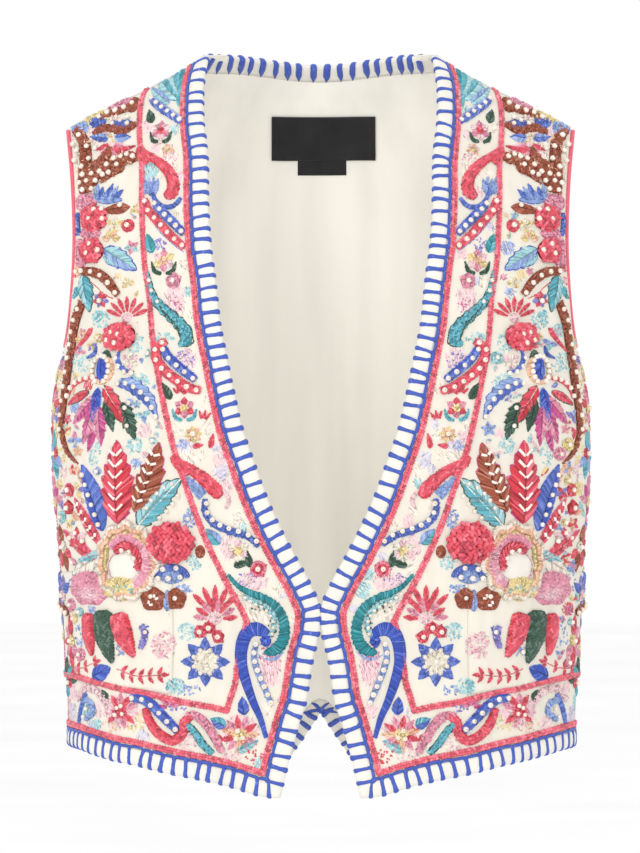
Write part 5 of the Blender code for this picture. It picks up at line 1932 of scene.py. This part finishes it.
def drop_motif(work):
    """Blue teardrop in a ring of pearls with long petals below it."""
    leaf(work, (102, 352), (103, 384), 4.0, "deep_blue", 1.7, kind="drop")
    centre = seen(102, 370)
    disc(work, centre, (9.2, 10.6), "peach", 0.8, "radial", 0.62, 1.0)
    turns = np.radians(np.arange(-150, 151, 25))
    ring = centre + np.stack([np.sin(turns) * 7.6, -np.cos(turns) * 9.4], axis=1)
    work.pearl(ring, 2.2, 0.6)
    leaf(work, (99, 388), (91, 427), 3.8, "deep_blue", 1.4, "light_blue")
    leaf(work, (106, 398), (113, 432), 4.2, "green", 1.2, teeth=6)
    leaf(work, (122, 402), (135, 440), 5.6, "green", 1.3, teeth=6)
    leaf(work, (104, 386), (127, 426), 4.8, "coral", 1.6, "green", second="red", teeth=5)
    work.pearl(trail((126, 408), (128, 426)), 1.9, 1.0)
    rope(work, ((116, 384), (128, 384), (140, 391), (150, 402), (157, 419)), 4.8, "light_blue", 1.6, "leaf",
         "slant", second="blue", pearls=7.2, edge="blue", teeth=7)
    leaf(work, (97, 396), (74, 424), 4.0, "magenta", 1.1, "pink", second="pink", teeth=6)
    leaf(work, (96, 402), (83, 444), 4.2, "pink", 1.2, second="magenta", teeth=6)
    leaf(work, (99, 406), (101, 446), 4.2, "magenta", 1.1, second="pink", teeth=6)
    leaf(work, (90, 392), (68, 405), 2.8, "coral", 1.0, "green")
    rope(work, ((98, 378), (84, 380), (74, 386), (68, 398)), 1.8, "coral", 1.1, "crescent", "cross",
         pearls=7.5)
    leaf(work, (94, 430), (88, 452), 2.6, "magenta", 1.0)
    rope(work, ((96, 345), (94, 354), (86, 358)), 1.7, "blue", 1.0, "crescent", "cross")
    rope(work, ((121, 348), (118, 360), (124, 370), (134, 372)), 1.9, "blue", 1.1, "crescent", "cross",
         pearls=5.8, pearl_inset=1.2)
    petals(work, seen(130, 361), 6, 0.5, 6.6, 2.3, ("cream", "pale_pink"), 0, 360, 0.9)
    scatter(work, seen(138, 382), (8, 6), "aqua", 70)
    scatter(work, seen(94, 452), (5, 10), "aqua", 44)
    scatter(work, seen(134, 446), (6, 6), "aqua", 44)
    scatter(work, seen(84, 364), (6, 6), "aqua", 30)
    outline(work, trail((104, 386), (112, 400), (121, 412)), "cream", 0.9, 1.2)


def leaf_fan(work):
    """Tall coral, brown, turquoise and blue leaves above the large flower."""
    base, tip = leaf(work, (118, 524), (117, 441), 10.4, "coral", 2.4, "magenta", second="red", size=1.9,
                     teeth=7)
    veins(work, base, tip, 9.0, 6, 0.9, 2.75)
    base, tip = leaf(work, (134, 512), (159, 443), 8.6, "rust", 2.2, "magenta", 0.06, size=1.7, teeth=6)
    veins(work, base, tip, 7.0, 6, 0.6, 2.5)
    base, tip = leaf(work, (138, 527), (181, 479), 8.4, "aqua", 1.8, "green", -0.05, second="turquoise",
                     teeth=6)
    outline(work, np.array([base, tip]), "cream", 1.0, 1.8)
    pearls_along(work, trail((147, 508), (152, 500), (162, 489), (172, 484)), 7.0, 1.8, 0.8)
    pearls_along(work, trail((160, 518), (170, 508), (178, 496)), 7.5, 1.8, 0.8)
    base, tip = leaf(work, (103, 531), (82, 465), 6.4, "deep_blue", 2.1, "blue", 0.04, second="blue",
                     size=1.7)
    pearls_along(work, np.array([base * 0.9 + tip * 0.1, base * 0.15 + tip * 0.85]), 8.0, 2.1, 1.8)
    base, tip = leaf(work, (101, 545), (74, 498), 4.0, "coral", 1.5, "pink")
    veins(work, base, tip, 4.0, 5, 0.9, 1.7)
    leaf(work, (98, 560), (62, 530), 4.2, "coral", 1.4, "pink")
    rosette(work, (67, 508), 5.0, "red", 1, 1.4)
    rosette(work, (68, 490), 4.6, "coral", 1, 1.4)
    petals(work, seen(76, 540), 6, 1, 9.0, 2.6, ("coral", "pale_pink"), 0, 360, 1.2)
    work.pearl(trail((70, 538), (84, 541), (76, 533)), 2.1, 1.0)
    scatter(work, seen(190, 518), (5, 7), "light_blue", 60)
    work.pearl(seen(188, 519), 1.8, 0.4)
    scatter(work, seen(62, 470), (5, 8), "pale_pink", 40)
    leaf(work, (88, 490), (76, 466), 2.4, "peach", 1.0)


def large_flower(work):
    """Great scalloped flower with rings of peach, pink and coral round a cream heart."""
    centre = seen(127, 561)
    radii = (21, 26)
    disc(work, centre, radii, "peach", 3.0, "radial", 0.78, 1.0, 11, 0.045, 1.2)
    disc(work, centre, radii, "sand", 3.2, "radial", 0.9, 1.06, 11, 0.05, 1.3, padded=False)
    disc(work, centre, radii, "yellow", 2.6, "radial", 0.66, 0.8, 11, 0.03, 1.2, (250, 470))
    disc(work, centre, radii, "pale_pink", 2.9, "radial", 0.5, 0.92, 0, 0, 1.4, (205, 300))
    disc(work, centre, radii, "pink", 3.1, "radial", 0.55, 0.9, 0, 0, 2.6, (205, 300), padded=False)
    disc(work, centre, radii, "pink", 2.8, "radial", 0.5, 0.8, 0, 0, 1.1, (235, 415))
    disc(work, centre, radii, "pale_pink", 2.4, "radial", 0.6, 0.72, 0, 0, 1.0, (240, 400))
    disc(work, centre, radii, "coral", 2.8, "rings", 0.3, 0.54, 0, 0, 1.3, (240, 420))
    disc(work, centre + np.array([2, 4]), (12.0, 10.5), "bare", 2.4, "plain")
    disc(work, centre + np.array([2, 4]), (12.6, 11.0), "pale_pink", 0.8, "radial", 0.9, 1.0, size=0.9,
         base=0.4)
    lower = centre + np.array([4, 19])
    disc(work, lower, (15, 8.5), "yellow", 3.0, "radial", 0.0, 1.0, 6, 0.08, 1.1)
    for number in range(5):
        spot = lower + np.array([-9 + 4.5 * number, 1.5 * math.cos(number * 2.0)])
        scatter(work, spot, (1.7, 1.7), "turquoise", 8, 2.0, 1.0, 2.9)
    work.pearl(centre + np.array([[-3.5, -6.5], [2.5, -7.5], [-7, -2]]), 2.1, 2.2)


def bloom_and_halves(work):
    """Chunky coral bloom with blue and brown half rounds below it."""
    disc(work, seen(171, 543), (15.5, 13), "deep_red", 3.9, "plain", 0, 1, 7, 0.05)
    seeds(work, seen(171, 543), (16.4, 13.8), "coral", 3.9, 2.7)
    disc(work, seen(172, 577), (12.5, 9), "blue", 1.8, "rings", 0.45, 1.0, 0, 0, 1.0, (270, 450))
    disc(work, seen(172, 576), (11.5, 7.5), "light_blue", 1.3, "radial", 0.0, 0.75, 0, 0, 1.0)
    work.pearl(trail((160, 578), (170, 578), (181, 577), (164, 569), (177, 568)), 2.3, 1.2)
    disc(work, seen(154, 599), (8.8, 8.2), "rust", 2.0, "radial", 0, 1, 5, 0.06, 1.1)
    disc(work, seen(176, 599), (7.2, 7.4), "rust", 2.0, "radial", 0, 1, 5, 0.06, 1.1)
    leaf(work, (168, 611), (168, 590), 2.6, "light_blue", 1.8, "blue")
    work.pearl(trail((153, 596), (176, 598)), 2.0, 1.7)
    veins(work, seen(150, 606), seen(158, 596), 3.4, 2, 0.9, 2.0)
    scatter(work, seen(183, 589), (7, 3), "light_blue", 34)
    disc(work, seen(200, 552), (3.6, 4.6), "rust", 1.4, "radial")
    scatter(work, seen(194, 563), (5, 5), "aqua", 34)
    leaf(work, (102, 556), (72, 574), 6.4, "sand", 1.3, "teal", teeth=4)
    leaf(work, (101, 553), (78, 562), 3.4, "turquoise", 1.6, second="aqua")
    disc(work, seen(89, 588), (15.0, 12.0), "pink", 2.2, "radial", 0, 1, 7, 0.06, 1.2)
    disc(work, seen(91, 592), (11.0, 7.0), "pale_pink", 2.4, "rings", 0, 1, 0, 0, 1.1, padded=False)
    scatter(work, seen(74, 584), (7, 9), "violet", 30)
    rope(work, ((60, 588), (64, 600), (69, 613)), 3.2, "rust", 1.7, "rope", "knots", pearls=8.0)


def pocket_motifs(work):
    """Tufts, dots and a scatter on the pocket, and the sprigs below it."""
    rope(work, ((90, 613), (90, 634), (93, 655)), 4.6, "coral", 2.4, "tuft", size=1.5, second="red")
    rope(work, ((104, 610), (106, 636), (114, 662)), 6.4, "green", 2.4, "tuft", size=1.5)
    rope(work, ((119, 613), (125, 634), (135, 656)), 6.4, "coral", 2.4, "tuft", size=1.5, second="red")
    rope(work, ((143, 626), (146, 636), (142, 648)), 2.4, "violet", 1.3, weave="knots")
    scatter(work, seen(145, 630), (4, 4), "blue", 24)
    work.pearl(trail((147, 632), (120, 652)), 1.9, 0.7)
    scatter(work, seen(164, 645), (8.5, 10), "pale_pink", 90, 2.6)
    scatter(work, seen(164, 645), (8, 9), "pink", 34, 2.2)
    scatter(work, seen(187, 632), (6.5, 6), "aqua", 60)
    scatter(work, seen(82, 636), (8, 8), "light_blue", 40)
    scatter(work, seen(122, 651), (4, 4), "light_blue", 20)
    sprig(work, ((70, 668), (82, 668), (97, 662)), "coral", 5.0, 4)
    sprig(work, ((118, 669), (138, 676), (162, 675)), "coral", 6.0, 5)
    leaf(work, (93, 677), (112, 668), 5.4, "deep_blue", 1.2, "blue")
    scatter(work, seen(71, 672), (7, 8), "pink", 44)


def lower_field(work):
    """Star, berries and a fan of coral petals near the inner corner."""
    star(work, (205, 662), 17.0, "blue", "cream")
    for spot in ((200, 632), (209, 628), (218, 637)):
        rosette(work, spot, 4.4, "coral", 1, 1.5)
    petals(work, seen(215, 620), 8, 5.0, 15.5, 1.9, ("coral", "pink"), -82, 164, 1.0, "drop")
    petals(work, seen(215, 616), 5, 5.0, 21.5, 1.9, ("coral",), -46, 92, 1.0, "drop")
    disc(work, seen(215, 619), (4.6, 4.2), "pale_pink", 1.0, "radial")
    scatter(work, seen(176, 687), (6.5, 6.0), "aqua", 60)
    scatter(work, seen(172, 686), (4, 4), "turquoise", 20)
    scatter(work, seen(190, 690), (7, 4), "light_blue", 26)


# Everything drawn by name, in the order of making.
MOTIFS = (border_top, border_upper, border_middle, border_lower, border_corner, hem_border, shoulder_field,
          chest_field, side_branch, side_fans, drop_motif, leaf_fan, large_flower, bloom_and_halves,
          pocket_motifs, lower_field)


# Small filling motifs where the larger ones leave gaps: zone, its columns and rows, share filled, colours.
GAP_ZONES = (
    ("shoulder", (66, 132), (98, 160), 1.0, ("pink", "coral", "peach", "pale_pink")),
    ("upper side", (66, 92), (160, 300), 1.0, ("pink", "coral", "peach", "pale_pink")),
    ("chest", (92, 138), (205, 345), 0.5, ("pink", "aqua", "pale_pink", "light_blue", "yellow")),
    ("side", (52, 98), (330, 625), 1.0, ("coral", "pink", "yellow", "light_blue", "violet", "peach", "aqua")),
    ("middle", (96, 160), (340, 470), 0.45, ("aqua", "pale_pink", "light_blue")),
    ("lower side", (52, 84), (600, 690), 0.8, ("pink", "pale_pink", "yellow", "light_blue")),
)
BORDER_COLOURS = ("pale_pink", "mist", "sand", "pale_pink", "aqua", "sand")


def gap_motif(work, spot, colours, size):
    """One small filling motif: a knot with a pearl, three petals, five petals, a leaf or a few loose
    stitches.
    """
    kind = work.rng.integers(0, 5)
    first = colours[work.rng.integers(0, len(colours))]
    other = colours[work.rng.integers(0, len(colours))]
    if kind == 0:
        disc(work, spot, (size, size * 0.95), first, 1.1, "knots", size=1.15)
        work.pearl(spot, 1.9, 0.8)
    elif kind == 1:
        petals(work, spot, 3, 0.2, size * 1.25, size * 0.36, (first, other), work.rng.uniform(0, 360), 200,
               0.9)
    elif kind == 2:
        petals(work, spot, 5, 0.2, size * 1.1, size * 0.34, (first, other), work.rng.uniform(0, 360), 360,
               0.9)
    elif kind == 3:
        way = work.rng.uniform(-1, 1, 2) * size
        ribbon(work, np.array([spot - way, spot, spot + way]), size * 0.42, "leaf", first, 1.0, second=other)
    else:
        hatch(work, spot, (size * 1.1, size * 1.1), first, 1.3)
        hatch(work, spot, (size * 0.8, size * 0.8), other, 2.2)


def clearances(work, spots):
    """Distance from each flat place to the nearest stitch or pearl so far."""
    rows = np.concatenate([np.concatenate(lists) for lists in work.stitches.values()])
    taken = [rows[:, 0:2], rows[:, 2:4], (rows[:, 0:2] + rows[:, 2:4]) / 2]
    taken += [pearls[:, :2] for pearls in work.pearls]
    taken = np.concatenate(taken)
    found = np.empty(len(spots))
    for k, spot in enumerate(spots):
        found[k] = np.sqrt(np.min(np.sum((taken - spot) ** 2, axis=1)))
    return found


def fill_gaps(work):
    """Fill the gaps of the dense zones, some of them only sparsely."""
    for _, (left, right), (top, bottom), share, colours in GAP_ZONES:
        for size in (4.8, 3.4, 2.6):
            count = int((right - left) * (bottom - top) / 34)
            spots = seen(work.rng.uniform(left, right, count), work.rng.uniform(top, bottom, count))
            room = clearances(work, spots)
            order = np.argsort(-room)
            placed = []
            for k in order:
                if room[k] < size * 0.92 or work.rng.uniform() > share:
                    continue
                if placed and np.min(np.linalg.norm(np.array(placed) - spots[k], axis=1)) < size * 2.1:
                    continue
                placed.append(spots[k])
                gap_motif(work, spots[k], colours, size)


def border_ground(work):
    """Soft pale patches between the motifs of the border."""
    middle = (OUTER_BRAID_AT + INNER_BRAID_AT) / 2
    for distance in (middle - 11, middle - 4, middle + 4, middle + 11):
        for leg in inside_line(work.side, distance):
            spots = even(leg, 8.0)
            spots = spots + work.rng.normal(0, 1.5, spots.shape)
            room = clearances(work, spots)
            for spot, free in zip(spots, room):
                if free < 2.2 or work.rng.uniform() > 0.8:
                    continue
                colour = BORDER_COLOURS[work.rng.integers(0, len(BORDER_COLOURS))]
                size = min(free * 1.15, 5.5)
                hatch(work, spot, (size, size * 1.2), colour)


def dress_front(side, word):
    """All the pieces of one front."""
    work = Needlework(side, word)
    front_cloth(side, word)
    edge = front_edge(side)

    def spacing(spot):
        """Distance between bars, closer at the neck and along the hem."""
        return np.interp(spot, (230, 290, 515, 525), (8.0, 9.6, 9.6, 8.5))

    blanket_stitch("front_" + word, edge, FRONT_PROFILE, spacing, "edge_band_" + word, 5 + side, 8)
    piping(side, word)
    pocket(work)
    braid(work, OUTER_BRAID_AT)
    braid(work, INNER_BRAID_AT)
    for motif in MOTIFS:
        motif(work)
    fill_gaps(work)
    border_ground(work)
    work.emit_stitches()
    work.emit_pads()
    work.emit_pearls()
    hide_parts("outer_braid_" + word, "inner_braid_" + word)


def dress_back():
    """Back, lining, label and the bound edges of the back."""
    back_cloth()
    back_lining()
    tag("label_patch", LABEL_BOX, "label", 0.9)
    tag("label_tab_patch", TAB_BOX, "label_tab", 0.1)
    blanket_stitch("back_neck", back_neck_edge(), BACK_PROFILE, lambda spot: 9.9, "back_neck_band", 21, 12,
                   1.3)
    blanket_stitch("back_hem", back_hem_edge(), BACK_PROFILE, lambda spot: 8.4, "back_hem_band", 22, 12, 0.9,
                   4)


def floor():
    """Plain pale floor well below the garment."""
    mesh = bpy.data.meshes.new("studio_floor")
    reach = 9.0
    level = -0.72
    corners = [(-reach, -reach, level), (reach, -reach, level), (reach, reach, level), (-reach, reach, level)]
    mesh.from_pydata(corners, [], [(0, 1, 2, 3)])
    look = Look("floor_look", 0.9)
    look.colour(look.noise(3, 2), ((0.3, (250, 250, 250)), (0.7, (254, 254, 254))))
    mesh.materials.append(look.material)
    plane = bpy.data.objects.new("studio_floor", mesh)
    bpy.context.scene.collection.objects.link(plane)


def lamp(name, spot, target, size, power):
    """Large soft lamp aimed at a point; places in metres."""
    light = bpy.data.lights.new(name, "AREA")
    light.shape = "DISK"
    light.size = size
    light.energy = power
    body = bpy.data.objects.new(name, light)
    body.location = spot
    way = np.array(target) - np.array(spot)
    flat_reach = math.hypot(way[0], way[1])
    body.rotation_euler = (math.atan2(flat_reach, -way[2]), 0, math.atan2(-way[0], way[1]))
    bpy.context.scene.collection.objects.link(body)


def studio():
    """Soft light from all round with a little more from the front and above."""
    world = bpy.data.worlds.new("studio_world")
    world.use_nodes = True
    world.node_tree.nodes["Background"].inputs["Color"].default_value = (1, 1, 1, 1)
    world.node_tree.nodes["Background"].inputs["Strength"].default_value = 1.0
    bpy.context.scene.world = world
    lamp("key_lamp", (-1.3, -2.4, 1.1), (0, 0, -0.25), 0.9, 15)
    lamp("front_lamp", (0.3, -3.6, 0.2), (0, 0, -0.25), 1.4, 17)
    bpy.context.scene.view_settings.view_transform = "Standard"


def camera():
    """Camera level with the middle of the garment, as far away as the photograph's."""
    lens = bpy.data.cameras.new("camera")
    lens.sensor_width = 36
    lens.lens = 36 * -CAMERA_PLACE[1] / FRAME_HEIGHT
    lens.clip_end = 100
    body = bpy.data.objects.new("camera", lens)
    body.location = [c * MM for c in CAMERA_PLACE]
    body.rotation_euler = (QUARTER, 0, 0)
    bpy.context.scene.collection.objects.link(body)
    bpy.context.scene.camera = body


def main():
    """Dress the frame."""
    for side, word in SIDES:
        dress_front(side, word)
    dress_back()
    floor()
    studio()
    camera()


main()
